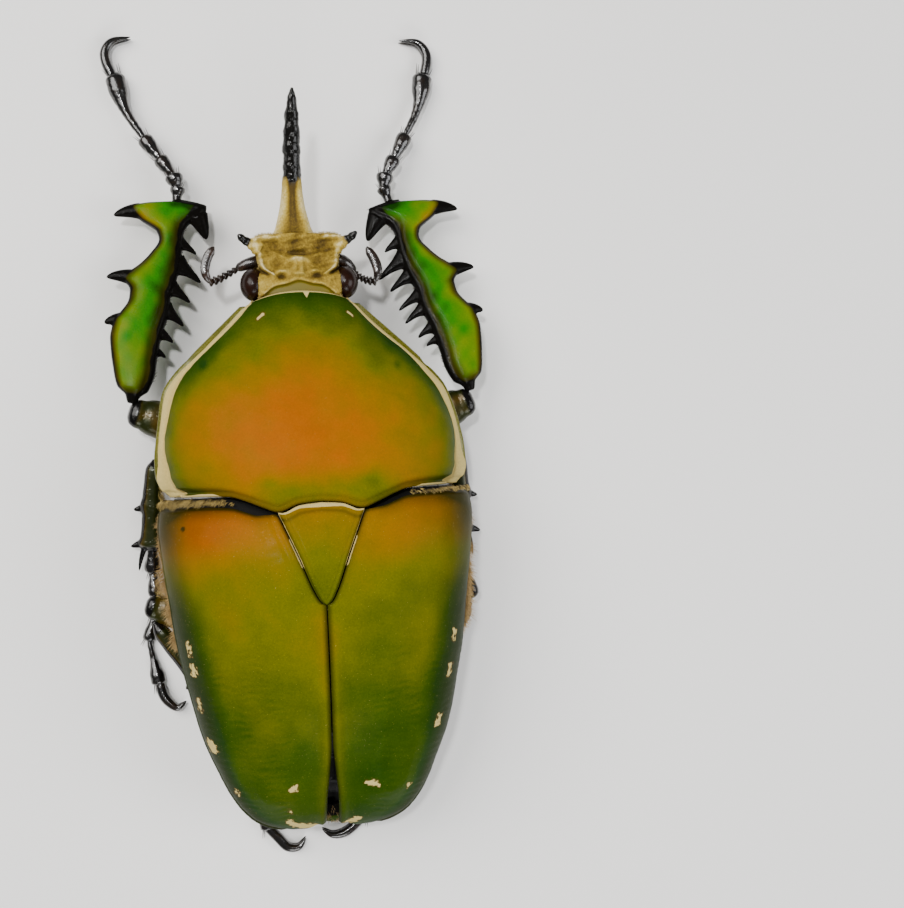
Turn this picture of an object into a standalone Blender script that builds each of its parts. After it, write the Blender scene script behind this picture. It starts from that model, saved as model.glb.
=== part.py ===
"""A life-size still model of a male Ugandan flower beetle, Mecynorrhina torquata ugandensis.

The beetle lies on its belly with its legs drawn in and its fore legs stretched ahead. The model
stands on the floor z = 0, with its head to +Y and its right side to +X. Its origin is where the
breast rests on the floor. Every size below is in millimetres, and MM turns it into metres.
"""

import math

import bmesh
import bpy
from mathutils import Matrix, Vector

MM = 0.001
GAP = 0.3           # clearance between two pieces that touch
SHELL = 0.8         # thickness of a wing case and of the scutellum
CROWN_INSET = 1.25  # how far the body lies below the wing cases at the crown
SIDE_INSET = 1.75   # how far it lies inside them at the side

# Curves along the body, as (y, value) knots
ELYTRON_WIDTH = ((-34.4, 5.2), (-34.0, 7.0), (-32.6, 9.2), (-30.3, 10.9), (-27.0, 12.5), (-23.4, 13.9),
                 (-18.7, 15.1), (-14.0, 16.1), (-9.0, 16.8), (-4.0, 17.4), (1.0, 17.9), (4.2, 17.5))
ELYTRON_CROWN = ((-34.4, 9.1), (-33.0, 11.4), (-31.0, 13.5), (-28.0, 15.8), (-24.0, 18.0), (-18.0, 20.2),
                 (-10.0, 21.4), (-4.0, 21.5), (0.0, 21.0), (4.2, 19.9))
ELYTRON_RIM = ((-34.4, 8.0), (-25.0, 8.6), (-10.0, 9.2), (4.2, 9.8))
PRONOTUM_WIDTH = ((4.6, 16.6), (5.4, 17.4), (7.0, 17.85), (8.7, 17.8), (11.0, 17.45), (14.0, 16.8),
                  (16.0, 16.15), (18.0, 14.75), (20.0, 12.8), (22.0, 10.7), (24.0, 8.55), (26.3, 6.1))
# How far its midline lies off the body's, as the front turns a little to the beetle's left
PRONOTUM_SHIFT = ((4.6, 0.0), (8.0, -0.15), (12.0, -0.25), (15.0, -0.5), (18.0, -0.8), (26.3, -0.75))
PRONOTUM_CROWN = ((4.6, 19.6), (8.0, 19.8), (12.0, 19.3), (16.0, 18.2), (20.0, 16.7), (24.0, 14.8),
                  (26.3, 13.5))
PRONOTUM_RIM = ((4.6, 9.7), (12.0, 10.1), (20.0, 10.6), (26.3, 10.8))
PROSTERNUM_KEEL = ((4.6, 2.2), (10.0, 2.3), (16.0, 3.4), (21.0, 5.4), (25.2, 7.6))
ABDOMEN_KEEL = ((-32.0, 6.4), (-29.0, 5.2), (-24.0, 3.2), (-18.0, 1.4), (-13.1, 0.5))
# The line between pronotum and wing cases, as (distance from the midline, y) knots
BASE_LINE = ((0.0, 3.4), (2.2, 3.2), (4.6, 2.45), (6.2, 3.0), (8.2, 3.85), (9.8, 4.35), (12.0, 4.5),
             (17.0, 4.6))
SCUTELLUM_WIDTH = ((-7.8, 0.45), (-7.2, 0.85), (-2.2, 2.8), (3.0, 5.0))
SUTURE_GAP = ((-33.6, 0.85), (-28.0, 0.6), (-23.0, 0.15), (-8.0, 0.15))

ELYTRON_FULLNESS = 2.6
PRONOTUM_FULLNESS = 2.4
ELYTRON_BASE_Y = 4.15
ELYTRON_APEX_Y = -34.4
PRONOTUM_BASE_Y = 4.6
PRONOTUM_FRONT_Y = 26.3
PRONOTUM_EDGE = 1.0      # height of the pronotum's side edge
PRONOTUM_UNDER = 0.97    # width of its underside as a share of its top
PROSTERNUM_FRONT_Y = 25.2
PROSTERNUM_WIDTH = 0.93  # share of the pronotum's width
PROSTERNUM_SIDE = 0.7    # height of the prosternum's side edge
PROSTERNUM_ROUND = 1.2   # exponents of the undersides' curves, from keel to side edge
BREAST_ROUND = 0.85
ABDOMEN_ROUND = 1.4
THORAX_REAR_Y = -12.8
BODY_SIDE_DROP = 0.2     # the body's upper side edge below the wing case's rim
THORAX_SIDE_DROP = 2.2   # and its lower side edge, at the thorax and at the abdomen
ABDOMEN_SIDE_DROP = 1.4
BREAST_FLAT = 0.2        # flat share of the breast's half width
ABDOMEN_REAR_Y = -31.6
ABDOMEN_TAPER = 1.6      # how far the abdomen's end draws back from the wing cases
STERNITE_STEP = 0.3
STERNITE_JOINT = 0.25
STERNITES = 6
PYGIDIUM_Y = -32.5
PYGIDIUM_WIDTH = 5.8
PYGIDIUM_TAPER = 0.85
PYGIDIUM_TOP = 8.9
PYGIDIUM_HEIGHT = 3.6
PYGIDIUM_BULGE = 0.9
PYGIDIUM_ARC = (0.15, 0.85)  # the stretch of a half circle that its bulge follows
LIP_DROP = (0.7, 1.3)    # the wing case's edge below its rim, two rows
LIP_INSET = (0.1, 0.5)
BASE_GROOVE = 0.45       # between the pronotum and the wing cases
THORAX_GROOVE = 1.1      # between the pronotum and the thorax below them
SCUTELLUM_GAP = 0.4

HEAD_SHIFT = -0.7        # the head sits a little to the beetle's left
HEAD_WIDTH = ((26.6, 4.6), (28.0, 5.0), (29.9, 4.45), (31.4, 4.8), (32.6, 5.2), (33.2, 4.3), (33.9, 2.4))
HEAD_TOP = ((26.6, 13.0), (29.0, 12.5), (31.5, 12.0), (33.9, 11.7))
HEAD_BOTTOM = ((26.6, 6.6), (30.0, 7.2), (33.9, 9.6))
HEAD_RIM_RISE = 0.9      # height of the face's side ridges
HEAD_RIM_PLACE = 0.72    # their place and breadth, as shares of the half width
HEAD_RIM_BREADTH = 0.22
CHEEK_PLACE = 0.8        # where the cheeks fall away outside the ridges
CHEEK_DROP = 0.9
HEAD_ROUND = 0.94
SPIKE_ROOT = (4.4, 32.2, 11.6)
SPIKE_TIP = (6.75, 33.7, 12.4)
SPIKE_RADIUS = 0.75
HORN_PATH = ((34.4, 10.6, 2.1, 1.0), (35.4, 10.85, 1.7, 1.15), (37.0, 11.4, 1.33, 1.3),
             (39.4, 12.2, 1.05, 1.2), (43.4, 13.8, 0.93, 1.05), (46.6, 15.3, 0.66, 0.8),
             (48.3, 16.2, 0.42, 0.5), (48.9, 16.5, 0.2, 0.25))
HORN_X = -1.1
EYE_CENTRE = (5.05, 28.05, 10.8)
EYE_RADII = (1.6, 1.4, 1.75)
MENTUM = ((26.1, 2.6, 5.6), (28.0, 3.3, 5.4), (30.4, 2.6, 6.0))
MENTUM_THICKNESS = 0.75
PALP_PATH = ((2.2, 28.4, 5.3), (3.9, 30.6, 5.2), (3.0, 32.6, 6.0))
PALP_RADII = (0.42, 0.42, 0.42, 0.42, 0.42, 0.25)
SCAPE_SIZES = ((0.55, 0.5),) * 3
FUNICLE_SIZES = ((0.3, 0.3), (0.42, 0.4)) * 6
CLUB_WIDTHS = (0.3, 0.42, 0.45, 0.42, 0.36, 0.2)
CLUB_THICKNESS = 0.55

# Fore tibia: (distance from the knee, outer edge, inner edge, half thickness)
FORE_TIBIA = ((0.0, 1.5, -0.7, 0.9), (0.9, 2.35, -1.3, 1.25), (3.2, 3.25, -1.75, 1.35),
              (7.0, 4.05, -1.65, 1.4), (9.4, 3.75, -1.85, 1.4), (11.6, 2.9, -1.95, 1.35),
              (12.8, 2.95, -1.85, 1.3), (14.3, 3.75, -2.1, 1.3), (15.6, 2.75, -2.15, 1.25),
              (17.2, 1.7, -2.4, 1.2), (19.5, 0.75, -2.1, 1.15), (20.5, 1.1, -1.9, 1.15),
              (22.0, 4.0, -2.1, 1.2), (23.2, 4.1, -3.2, 1.2), (24.1, 1.9, -3.2, 1.1),
              (24.9, 0.6, -2.6, 0.8))
# Its teeth: (root's distance, tip's distance, tip's offset, root's radius)
FORE_OUTER_TEETH = ((8.7, 8.3, 4.95, 1.1), (14.0, 13.8, 5.7, 1.15), (22.6, 21.5, 6.1, 1.15))
FORE_INNER_TEETH = {
    "l": ((5.6, 5.4, -2.6, 0.5), (8.0, 7.4, -3.1, 0.55), (10.8, 10.1, -3.8, 0.6),
          (13.7, 13.1, -4.0, 0.6), (16.7, 15.7, -4.7, 0.75), (19.4, 19.0, -3.6, 0.6),
          (23.0, 20.9, -4.4, 0.75), (23.8, 25.6, -3.6, 0.6)),
    "r": ((6.4, 6.2, -2.7, 0.5), (8.0, 7.5, -3.3, 0.55), (10.7, 10.0, -4.2, 0.6),
          (12.5, 11.8, -4.3, 0.6), (15.2, 14.5, -4.6, 0.6), (17.4, 16.5, -5.3, 0.75),
          (19.5, 19.1, -3.6, 0.55), (23.2, 21.5, -5.4, 0.75), (23.8, 25.8, -3.8, 0.6)),
}
OUTER_ROOT_DEPTH = 1.2   # how far inside the edge a tooth is rooted
INNER_ROOT_DEPTH = 0.9
# Shorter tibiae: (share of the length, half width, half thickness)
WALKING_TIBIA = ((0.0, 0.7, 0.6), (0.06, 1.0, 0.85), (0.4, 1.15, 0.95), (0.52, 1.35, 1.0), (0.6, 1.15, 0.95),
                 (0.85, 1.35, 1.0), (0.96, 1.6, 1.05), (1.0, 1.1, 0.7))
# Their teeth: (root's share, root's offset, tip's share, tip's offset)
WALKING_TEETH = ((0.5, -0.2, 0.55, 2.3), (0.9, 0.0, 0.97, 2.5))
WALKING_TOOTH_RADIUS = 0.6
SPUR_ROOT = 0.93
SPURS = ((-0.6, 1.56), (0.7, 2.73))  # (offset at the root, length past the tibia's end)
SPUR_SPREAD = 2.0
SPUR_RADIUS = 0.45
SPUR_TIP_Z = 0.4
# Coxa: (distance from the start, share of the radius), then the same back from the end
COXA_START = ((0.0, 0.45), (0.5, 0.85), (1.4, 1.0))
COXA_END = ((0.6, 0.9), (0.0, 0.6))
FEMUR_SECTIONS = ((0.0, 0.6), (0.06, 0.8), (0.3, 1.0), (0.6, 1.0), (0.85, 0.85), (0.96, 0.65), (1.0, 0.35))
TOE_SECTIONS = ((0.0, 0.5), (0.3, 0.68), (0.72, 1.0), (0.93, 0.8))
TOE_TIP_RADIUS = 0.5
CLAW_SECTIONS = ((0.45, 0.4), (0.43, 0.38), (0.36, 0.32), (0.27, 0.24), (0.135, 0.12), (0.1, 0.1))
CLAW_TIP_Z = 0.4
CLAW_PAIR = ((0.0, 0.0), (0.9, 0.35))  # how far each claw's tip is raised and spread

# The pose: each leg's points, the way the photo shows them
LEGS = {
    "fore_l": {
        "coxa": ((-4.0, 9.3, 3.3), (-7.4, 10.0, 2.9)), "coxa_radius": 2.1,
        "femur": ((-8.3, 10.3, 2.9), (-13.5, 12.1, 4.2), (-20.7, 14.4, 6.1)), "femur_size": (2.4, 1.7),
        "tibia": ((-19.85, 16.15, 6.3), (-14.6, 39.4, 3.5)),
        "tarsus": ((-14.15, 40.2, 3.3), (-14.05, 40.8, 3.2), (-14.5, 42.25, 2.9), (-16.0, 44.5, 2.4),
                   (-17.75, 47.05, 1.9), (-20.9, 54.9, 1.2)),
        "toe_radii": (0.6, 0.86, 0.74, 0.78, 0.97),
        "claw": ((-21.1, 54.6), (-21.9, 56.3), (-21.9, 57.7), (-21.0, 58.9), (-18.8, 59.3)),
    },
    "fore_r": {
        "coxa": ((4.0, 9.3, 3.3), (7.4, 10.0, 2.9)), "coxa_radius": 2.1,
        "femur": ((8.3, 10.3, 2.9), (13.1, 11.9, 4.2), (19.5, 14.1, 6.1)), "femur_size": (2.4, 1.7),
        "tibia": ((18.65, 15.95, 6.3), (12.1, 38.8, 3.5)),
        "tarsus": ((10.5, 39.65, 3.3), (10.35, 40.3, 3.2), (10.65, 41.9, 2.9), (11.9, 44.0, 2.4),
                   (13.5, 46.9, 1.9), (16.1, 54.6, 1.2)),
        "toe_radii": (0.6, 0.86, 0.74, 0.78, 0.97),
        "claw": ((16.4, 54.3), (16.8, 56.2), (16.6, 57.5), (15.6, 58.6), (13.4, 58.7)),
    },
    "mid_l": {
        "coxa": ((-4.2, 3.3, 2.6), (-7.1, 4.4, 2.4)), "coxa_radius": 1.7,
        "femur": ((-7.9, 4.8, 2.4), (-12.3, 6.6, 2.8), (-17.0, 9.3, 3.7)), "femur_size": (1.7, 1.35),
        "tibia": ((-18.2, 8.4, 4.0), (-19.1, -1.6, 2.2)),
        "tarsus": ((-19.1, -2.2, 1.6), (-19.2, -4.4, 1.0), (-19.1, -7.2, 0.8), (-19.4, -9.9, 0.75),
                   (-20.1, -12.4, 0.75), (-19.1, -17.8, 0.8)),
        "toe_radii": (0.7, 0.7, 0.65, 0.65, 0.7),
        "claw": ((-19.2, -17.4), (-18.7, -19.0), (-18.0, -20.0), (-17.1, -20.6), (-16.1, -20.0)),
    },
    "mid_r": {
        "coxa": ((4.2, 3.3, 2.6), (7.1, 4.4, 2.4)), "coxa_radius": 1.7,
        "femur": ((7.9, 4.8, 2.4), (12.0, 6.5, 2.8), (16.2, 9.1, 3.7)), "femur_size": (1.7, 1.35),
        "tibia": ((17.5, 8.2, 4.0), (17.7, -1.9, 2.2)),
        "tarsus": ((17.6, -2.5, 1.6), (17.5, -4.7, 1.0), (17.3, -7.5, 0.8), (16.9, -10.1, 0.75),
                   (16.3, -12.5, 0.75), (14.3, -17.6, 0.8)),
        "toe_radii": (0.7, 0.7, 0.65, 0.65, 0.7),
        "claw": ((14.4, -17.2), (13.9, -18.8), (13.2, -19.7), (12.2, -20.2), (11.2, -19.6)),
    },
    "hind_l": {
        "coxa": ((-3.4, -11.6, 2.2), (-9.0, -11.6, 2.2)), "coxa_radius": 1.7,
        "femur": ((-9.7, -11.5, 2.3), (-14.0, -10.0, 3.1), (-19.8, -8.0, 4.4)), "femur_size": (2.0, 1.4),
        "tibia": ((-18.8, -10.9, 4.3), (-10.2, -22.2, 2.0)),
        "tarsus": ((-9.6, -22.9, 1.6), (-8.3, -25.3, 1.0), (-8.0, -27.9, 0.8), (-7.9, -30.4, 0.75),
                   (-7.7, -32.7, 0.75), (-7.2, -36.0, 0.8)),
        "toe_radii": (0.75, 0.75, 0.7, 0.7, 0.75),
        "claw": ((-7.3, -35.6), (-6.1, -37.0), (-5.0, -38.2), (-3.7, -38.3), (-2.8, -37.3)),
    },
    "hind_r": {
        "coxa": ((3.4, -11.6, 2.2), (9.0, -11.6, 2.2)), "coxa_radius": 1.7,
        "femur": ((9.7, -11.5, 2.3), (13.6, -10.0, 3.1), (18.8, -8.0, 4.4)), "femur_size": (2.0, 1.4),
        "tibia": ((17.8, -10.9, 4.3), (9.0, -22.0, 2.0)),
        "tarsus": ((8.4, -22.7, 1.6), (7.1, -25.1, 1.0), (6.6, -27.7, 0.8), (6.1, -30.1, 0.75),
                   (5.5, -32.4, 0.75), (4.2, -35.6, 0.8)),
        "toe_radii": (0.75, 0.75, 0.7, 0.7, 0.75),
        "claw": ((4.4, -35.2), (3.0, -36.4), (1.8, -37.1), (0.4, -37.2), (-0.8, -36.4)),
    },
}
ANTENNAE = {
    "l": {"scape": ((-6.2, 30.7, 9.9), (-7.9, 29.9, 9.6), (-9.8, 28.9, 9.4), (-10.9, 28.7, 9.4)),
          "club": ((-10.9, 28.6, 9.4), (-11.15, 29.9, 9.4), (-10.2, 32.5, 9.4))},
    "r": {"scape": ((4.8, 30.6, 9.9), (6.3, 29.0, 9.0), (7.2, 28.35, 9.2), (8.2, 28.3, 9.4)),
          "club": ((8.2, 28.2, 9.4), (8.35, 29.6, 9.4), (7.35, 32.0, 9.4))},
}

# Colour, roughness and metallic value of each kind of surface
FINISHES = {
    "green": ((0.16, 0.26, 0.01), 0.35, 0.3),
    "orange": ((0.38, 0.13, 0.0), 0.4, 0.25),
    "leg_green": ((0.02, 0.22, 0.01), 0.2, 0.6),
    "dark_green": ((0.01, 0.045, 0.015), 0.3, 0.5),
    "ochre": ((0.36, 0.2, 0.05), 0.7, 0.0),
    "black": ((0.006, 0.005, 0.005), 0.2, 0.1),
    "eye": ((0.03, 0.012, 0.006), 0.15, 0.0),
    "brown": ((0.05, 0.02, 0.01), 0.45, 0.0),
}


def smooth_curve(knots):
    """A smooth function through (position, value) knots that doesn't overshoot them."""
    xs = [knot[0] for knot in knots]
    ys = [knot[1] for knot in knots]
    steps = [(ys[i + 1] - ys[i]) / (xs[i + 1] - xs[i]) for i in range(len(xs) - 1)]
    slopes = [steps[0]]
    for before, after in zip(steps, steps[1:]):
        slopes.append(0.0 if before * after <= 0 else 2 * before * after / (before + after))
    slopes.append(steps[-1])

    def value(x):
        x = min(max(x, xs[0]), xs[-1])
        i = min(sum(1 for knot in xs[1:] if knot < x), len(steps) - 1)
        width = xs[i + 1] - xs[i]
        t = (x - xs[i]) / width
        return ((1 + 2 * t) * (1 - t) ** 2 * ys[i] + t * (1 - t) ** 2 * width * slopes[i]
                + t * t * (3 - 2 * t) * ys[i + 1] - t * t * (1 - t) * width * slopes[i + 1])

    return value


elytron_width = smooth_curve(ELYTRON_WIDTH)
elytron_crown = smooth_curve(ELYTRON_CROWN)
elytron_rim = smooth_curve(ELYTRON_RIM)
pronotum_width = smooth_curve(PRONOTUM_WIDTH)
pronotum_shift = smooth_curve(PRONOTUM_SHIFT)
pronotum_crown = smooth_curve(PRONOTUM_CROWN)
pronotum_rim = smooth_curve(PRONOTUM_RIM)
prosternum_keel = smooth_curve(PROSTERNUM_KEEL)
abdomen_keel = smooth_curve(ABDOMEN_KEEL)
base_line = smooth_curve(BASE_LINE)
scutellum_width = smooth_curve(SCUTELLUM_WIDTH)
suture_gap = smooth_curve(SUTURE_GAP)
head_width = smooth_curve(HEAD_WIDTH)
head_top = smooth_curve(HEAD_TOP)
head_bottom = smooth_curve(HEAD_BOTTOM)


def spread(start, end, count):
    """count + 1 values from start to end."""
    return [start + (end - start) * i / count for i in range(count + 1)]


def side_share(angle, fullness):
    """How far out a point of a domed section lies, from -1 to 1, at an angle from the crown."""
    return math.copysign(abs(math.sin(angle)) ** (2 / fullness), angle)


def clear_scene():
    for obj in list(bpy.data.objects):
        bpy.data.objects.remove(obj, do_unlink=True)


def material(name):
    made = bpy.data.materials.get(name) or bpy.data.materials.new(name)
    made.use_nodes = True
    colour, roughness, metallic = FINISHES[name]
    shader = made.node_tree.nodes["Principled BSDF"]
    shader.inputs["Base Color"].default_value = (*colour, 1.0)
    shader.inputs["Roughness"].default_value = roughness
    shader.inputs["Metallic"].default_value = metallic
    return made


def object_from(name, points, faces, finish):
    """A closed mesh object from points in millimetres."""
    mesh = bpy.data.meshes.new(name)
    mesh.from_pydata([Vector(point) * MM for point in points], [], faces)
    shape = bmesh.new()
    shape.from_mesh(mesh)
    bmesh.ops.recalc_face_normals(shape, faces=shape.faces)
    shape.to_mesh(mesh)
    shape.free()
    mesh.materials.append(material(finish))
    mesh.shade_smooth()
    mesh.set_sharp_from_angle(angle=math.radians(42))
    obj = bpy.data.objects.new(name, mesh)
    bpy.context.scene.collection.objects.link(obj)
    return obj


def slab(name, top, bottom, finish):
    """A closed solid between two grids of points of the same size, split alike on both faces."""
    rows = len(top)
    columns = len(top[0])
    points = [point for row in top for point in row] + [point for row in bottom for point in row]
    lower = rows * columns
    faces = []
    for i in range(rows - 1):
        for j in range(columns - 1):
            a = i * columns + j
            b = a + columns
            faces += [(a, b, b + 1), (a, b + 1, a + 1)]
            faces += [(lower + a, lower + b + 1, lower + b), (lower + a, lower + a + 1, lower + b + 1)]
    border = list(range(columns))
    border += [i * columns + columns - 1 for i in range(1, rows)]
    border += [(rows - 1) * columns + j for j in range(columns - 2, -1, -1)]
    border += [i * columns for i in range(rows - 2, 0, -1)]
    for a, b in zip(border, border[1:] + border[:1]):
        faces += [(a, b, lower + b), (a, lower + b, lower + a)]
    return object_from(name, points, faces, finish)


def tube(name, centres, sizes, finish, sides=8, roll=0.0):
    """A closed tube through the centres, with a (half width, half thickness) at each of them.

    The width lies level, turned by roll about the tube's own line. No point goes below the floor.
    """
    centres = [Vector(centre) for centre in centres]
    points = []
    for i, (centre, (width, thickness)) in enumerate(zip(centres, sizes)):
        ahead = (centres[min(i + 1, len(centres) - 1)] - centres[max(i - 1, 0)]).normalized()
        across = ahead.cross(Vector((0, 0, 1))).normalized()
        across = Matrix.Rotation(roll, 3, ahead) @ across
        upward = across.cross(ahead)
        for k in range(sides):
            turn = 2 * math.pi * (k + 0.5) / sides
            point = centre + across * width * math.cos(turn) + upward * thickness * math.sin(turn)
            points.append((point.x, point.y, max(point.z, 0.0)))
    faces = []
    for i in range(len(centres) - 1):
        for k in range(sides):
            a = i * sides + k
            b = i * sides + (k + 1) % sides
            faces += [(a, b, b + sides), (a, b + sides, a + sides)]
    last = (len(centres) - 1) * sides
    faces.append(tuple(reversed(range(sides))))
    faces.append(tuple(range(last, last + sides)))
    return object_from(name, points, faces, finish)


def along(points, count):
    """count + 1 points on a smooth line through the given ones."""
    points = [Vector(point) for point in points]
    lengths = [0.0]
    for a, b in zip(points, points[1:]):
        lengths.append(lengths[-1] + (b - a).length)
    axes = [smooth_curve([(s, point[axis]) for s, point in zip(lengths, points)]) for axis in range(3)]
    return [Vector([axis(s) for axis in axes]) for s in spread(0.0, lengths[-1], count)]


def point_at(line, share):
    """The point at a share of the way along a list of even points."""
    place = share * (len(line) - 1)
    i = min(int(place), len(line) - 2)
    return line[i].lerp(line[i + 1], place - i)


def spine(root, tip, radius, flatness=0.7, bend=(0.0, 0.0, 0.0)):
    """A thin pointed cone from inside its node out to the tip."""
    root = Vector(root)
    tip = Vector(tip)
    middle = root.lerp(tip, 0.6) + Vector(bend)
    sizes = [(radius * share, radius * flatness * share) for share in (1.0, 0.62, 0.14)]
    return tube("spine", (root, middle, tip), sizes, "black", sides=5)


def ellipsoid(name, centre, radii, finish, rings=8, sides=12):
    """A closed ellipsoid whose poles lie along X."""
    points = []
    for i in range(1, rings):
        turn = math.pi * i / rings
        for k in range(sides):
            round_turn = 2 * math.pi * k / sides
            points.append((centre[0] + radii[0] * math.cos(turn),
                           centre[1] + radii[1] * math.sin(turn) * math.cos(round_turn),
                           centre[2] + radii[2] * math.sin(turn) * math.sin(round_turn)))
    points.append((centre[0] + radii[0], centre[1], centre[2]))
    points.append((centre[0] - radii[0], centre[1], centre[2]))
    near, far = len(points) - 2, len(points) - 1
    faces = []
    for i in range(rings - 2):
        for k in range(sides):
            a = i * sides + k
            b = i * sides + (k + 1) % sides
            faces.append((a, b, b + sides, a + sides))
    for k in range(sides):
        faces.append((near, (k + 1) % sides, k))
        faces.append((far, (rings - 2) * sides + k, (rings - 2) * sides + (k + 1) % sides))
    return object_from(name, points, faces, finish)


def apply_boolean(obj, operation, others, solver="EXACT"):
    """Joins the others to obj or cuts them from it, and removes them."""
    group = bpy.data.collections.new("operands")
    for other in others:
        group.objects.link(other)
    modifier = obj.modifiers.new(operation.lower(), "BOOLEAN")
    modifier.operation = operation
    modifier.operand_type = "COLLECTION"
    modifier.collection = group
    modifier.solver = solver
    graph = bpy.context.evaluated_depsgraph_get()
    mesh = bpy.data.meshes.new_from_object(obj.evaluated_get(graph))
    obj.modifiers.clear()
    old = obj.data
    obj.data = mesh
    mesh.name = obj.name
    bpy.data.meshes.remove(old)
    for other in others:
        bpy.data.objects.remove(other, do_unlink=True)
    bpy.data.collections.remove(group)
    keep_largest_body(obj)


def keep_largest_body(obj):
    """Keeps only the closed surface with the largest volume."""
    shape = bmesh.new()
    shape.from_mesh(obj.data)
    bmesh.ops.remove_doubles(shape, verts=shape.verts, dist=1e-7)
    left = set(shape.faces)
    bodies = []
    while left:
        stack = [left.pop()]
        body = list(stack)
        while stack:
            for edge in stack.pop().edges:
                for face in edge.link_faces:
                    if face in left:
                        left.remove(face)
                        stack.append(face)
                        body.append(face)
        bodies.append(body)
    bodies.sort(key=lambda body: body_volume(body), reverse=True)
    scraps = [face for body in bodies[1:] for face in body]
    bmesh.ops.delete(shape, geom=scraps, context="FACES")
    shape.to_mesh(obj.data)
    shape.free()


def body_volume(faces):
    volume = 0.0
    for face in faces:
        corners = [vertex.co for vertex in face.verts]
        for a, b in zip(corners[1:], corners[2:]):
            volume += corners[0].dot(a.cross(b)) / 6
    return volume


def normal_offset(grid, depth):
    """The grid moved inwards along its own normals."""
    rows = len(grid)
    columns = len(grid[0])
    moved = []
    for i in range(rows):
        line = []
        for j in range(columns):
            down = Vector(grid[min(i + 1, rows - 1)][j]) - Vector(grid[max(i - 1, 0)][j])
            outward = Vector(grid[i][min(j + 1, columns - 1)]) - Vector(grid[i][max(j - 1, 0)])
            line.append(Vector(grid[i][j]) - down.cross(outward).normalized() * depth)
        moved.append(line)
    return moved


def mirrored(grid, side):
    """The grid as built for the right side, or its mirror image for the left."""
    sign = 1 if side == "r" else -1
    return [[(sign * point[0], point[1], point[2]) for point in row] for row in grid]


def elytron_height(x, y):
    share = min(abs(x) / elytron_width(y), 1.0)
    rim = elytron_rim(y)
    return rim + (elytron_crown(y) - rim) * math.sqrt(1 - share ** ELYTRON_FULLNESS)


def base_shift(x, base_y, share):
    """How far a row near the base line moves so that the first row follows that line."""
    return (base_line(abs(x)) - base_y) * (1 - share) ** 3


def inner_edge(y):
    """The wing case's inner edge: along the scutellum, then along the suture."""
    if y > SCUTELLUM_WIDTH[0][0]:
        return scutellum_width(y) + SCUTELLUM_GAP
    return suture_gap(y)


def elytron(side, rows=15, columns=9):
    """One wing case: a domed shell with its edge turned under."""
    grid = []
    for share in spread(0.0, 1.0, rows):
        level = ELYTRON_BASE_Y + (ELYTRON_APEX_Y - ELYTRON_BASE_Y) * share
        half_width = elytron_width(level)
        groove_y = ELYTRON_BASE_Y + BASE_GROOVE
        edge = inner_edge(level + base_shift(inner_edge(level), groove_y, share))
        first = math.asin(min(edge / half_width, 0.95) ** (ELYTRON_FULLNESS / 2))
        line = []
        for angle in spread(first, math.pi / 2, columns):
            x = half_width * side_share(angle, ELYTRON_FULLNESS)
            y = level + base_shift(x, groove_y, share)
            rim = elytron_rim(y)
            line.append(Vector((x, y, rim + (elytron_crown(y) - rim) * math.cos(angle))))
        for drop, inset in zip(LIP_DROP, LIP_INSET):
            line.append(line[columns] + Vector((-inset, 0.0, -drop)))
        grid.append(line)
    inner = normal_offset(grid, SHELL)
    return slab("elytron_" + side, mirrored(grid, side), mirrored(inner, side), "green")


def scutellum(rows=6, columns=6):
    """The small shield between the bases of the wing cases."""
    top = []
    base_y = SCUTELLUM_WIDTH[-1][0]
    tip_y = SCUTELLUM_WIDTH[0][0]
    for share in spread(0.0, 1.0, rows):
        level = base_y + (tip_y - base_y) * share
        line = []
        for t in spread(-1.0, 1.0, columns):
            x = t * scutellum_width(level)
            y = level + base_shift(x, base_y + BASE_GROOVE, share)
            x = t * scutellum_width(y)
            line.append((x, y, elytron_height(x, y)))
        top.append(line)
    bottom = [[(x, y, z - SHELL) for x, y, z in line] for line in top]
    return slab("scutellum", top, bottom, "green")


def pronotum(rows=12, columns=16):
    """The domed shield of the first segment, flat underneath."""
    top = []
    bottom = []
    for share in spread(0.0, 1.0, rows):
        level = PRONOTUM_BASE_Y + (PRONOTUM_FRONT_Y - PRONOTUM_BASE_Y) * share
        half_width = pronotum_width(level)
        shift = pronotum_shift(level)
        rim = pronotum_rim(level)
        upper = []
        lower = []
        for angle in spread(-math.pi / 2, math.pi / 2, columns):
            x = half_width * side_share(angle, PRONOTUM_FULLNESS)
            y = level + base_shift(x, PRONOTUM_BASE_Y, share)
            upper.append((x + shift, y, rim + (pronotum_crown(level) - rim) * math.cos(angle)))
            lower.append((PRONOTUM_UNDER * x + shift, y, rim - PRONOTUM_EDGE))
        top.append(upper)
        bottom.append(lower)
    return slab("pronotum", top, bottom, "orange")


def prosternum(rows=8, columns=10):
    """The first segment's underside, from its side edges down to a blunt keel."""
    top = []
    bottom = []
    for share in spread(0.0, 1.0, rows):
        level = PRONOTUM_BASE_Y + (PROSTERNUM_FRONT_Y - PRONOTUM_BASE_Y) * share
        rim = pronotum_rim(level)
        side_z = rim - PRONOTUM_EDGE - GAP - PROSTERNUM_SIDE
        keel = prosternum_keel(level)
        upper = []
        lower = []
        for t in spread(-1.0, 1.0, columns):
            x = PROSTERNUM_WIDTH * pronotum_width(level) * t
            y = level + base_shift(x, PRONOTUM_BASE_Y, share)
            x += pronotum_shift(level)
            upper.append((x, y, rim - PRONOTUM_EDGE - GAP))
            lower.append((x, y, keel + (side_z - keel) * abs(t) ** PROSTERNUM_ROUND))
        top.append(upper)
        bottom.append(lower)
    return slab("prosternum", top, bottom, "dark_green")


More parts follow.
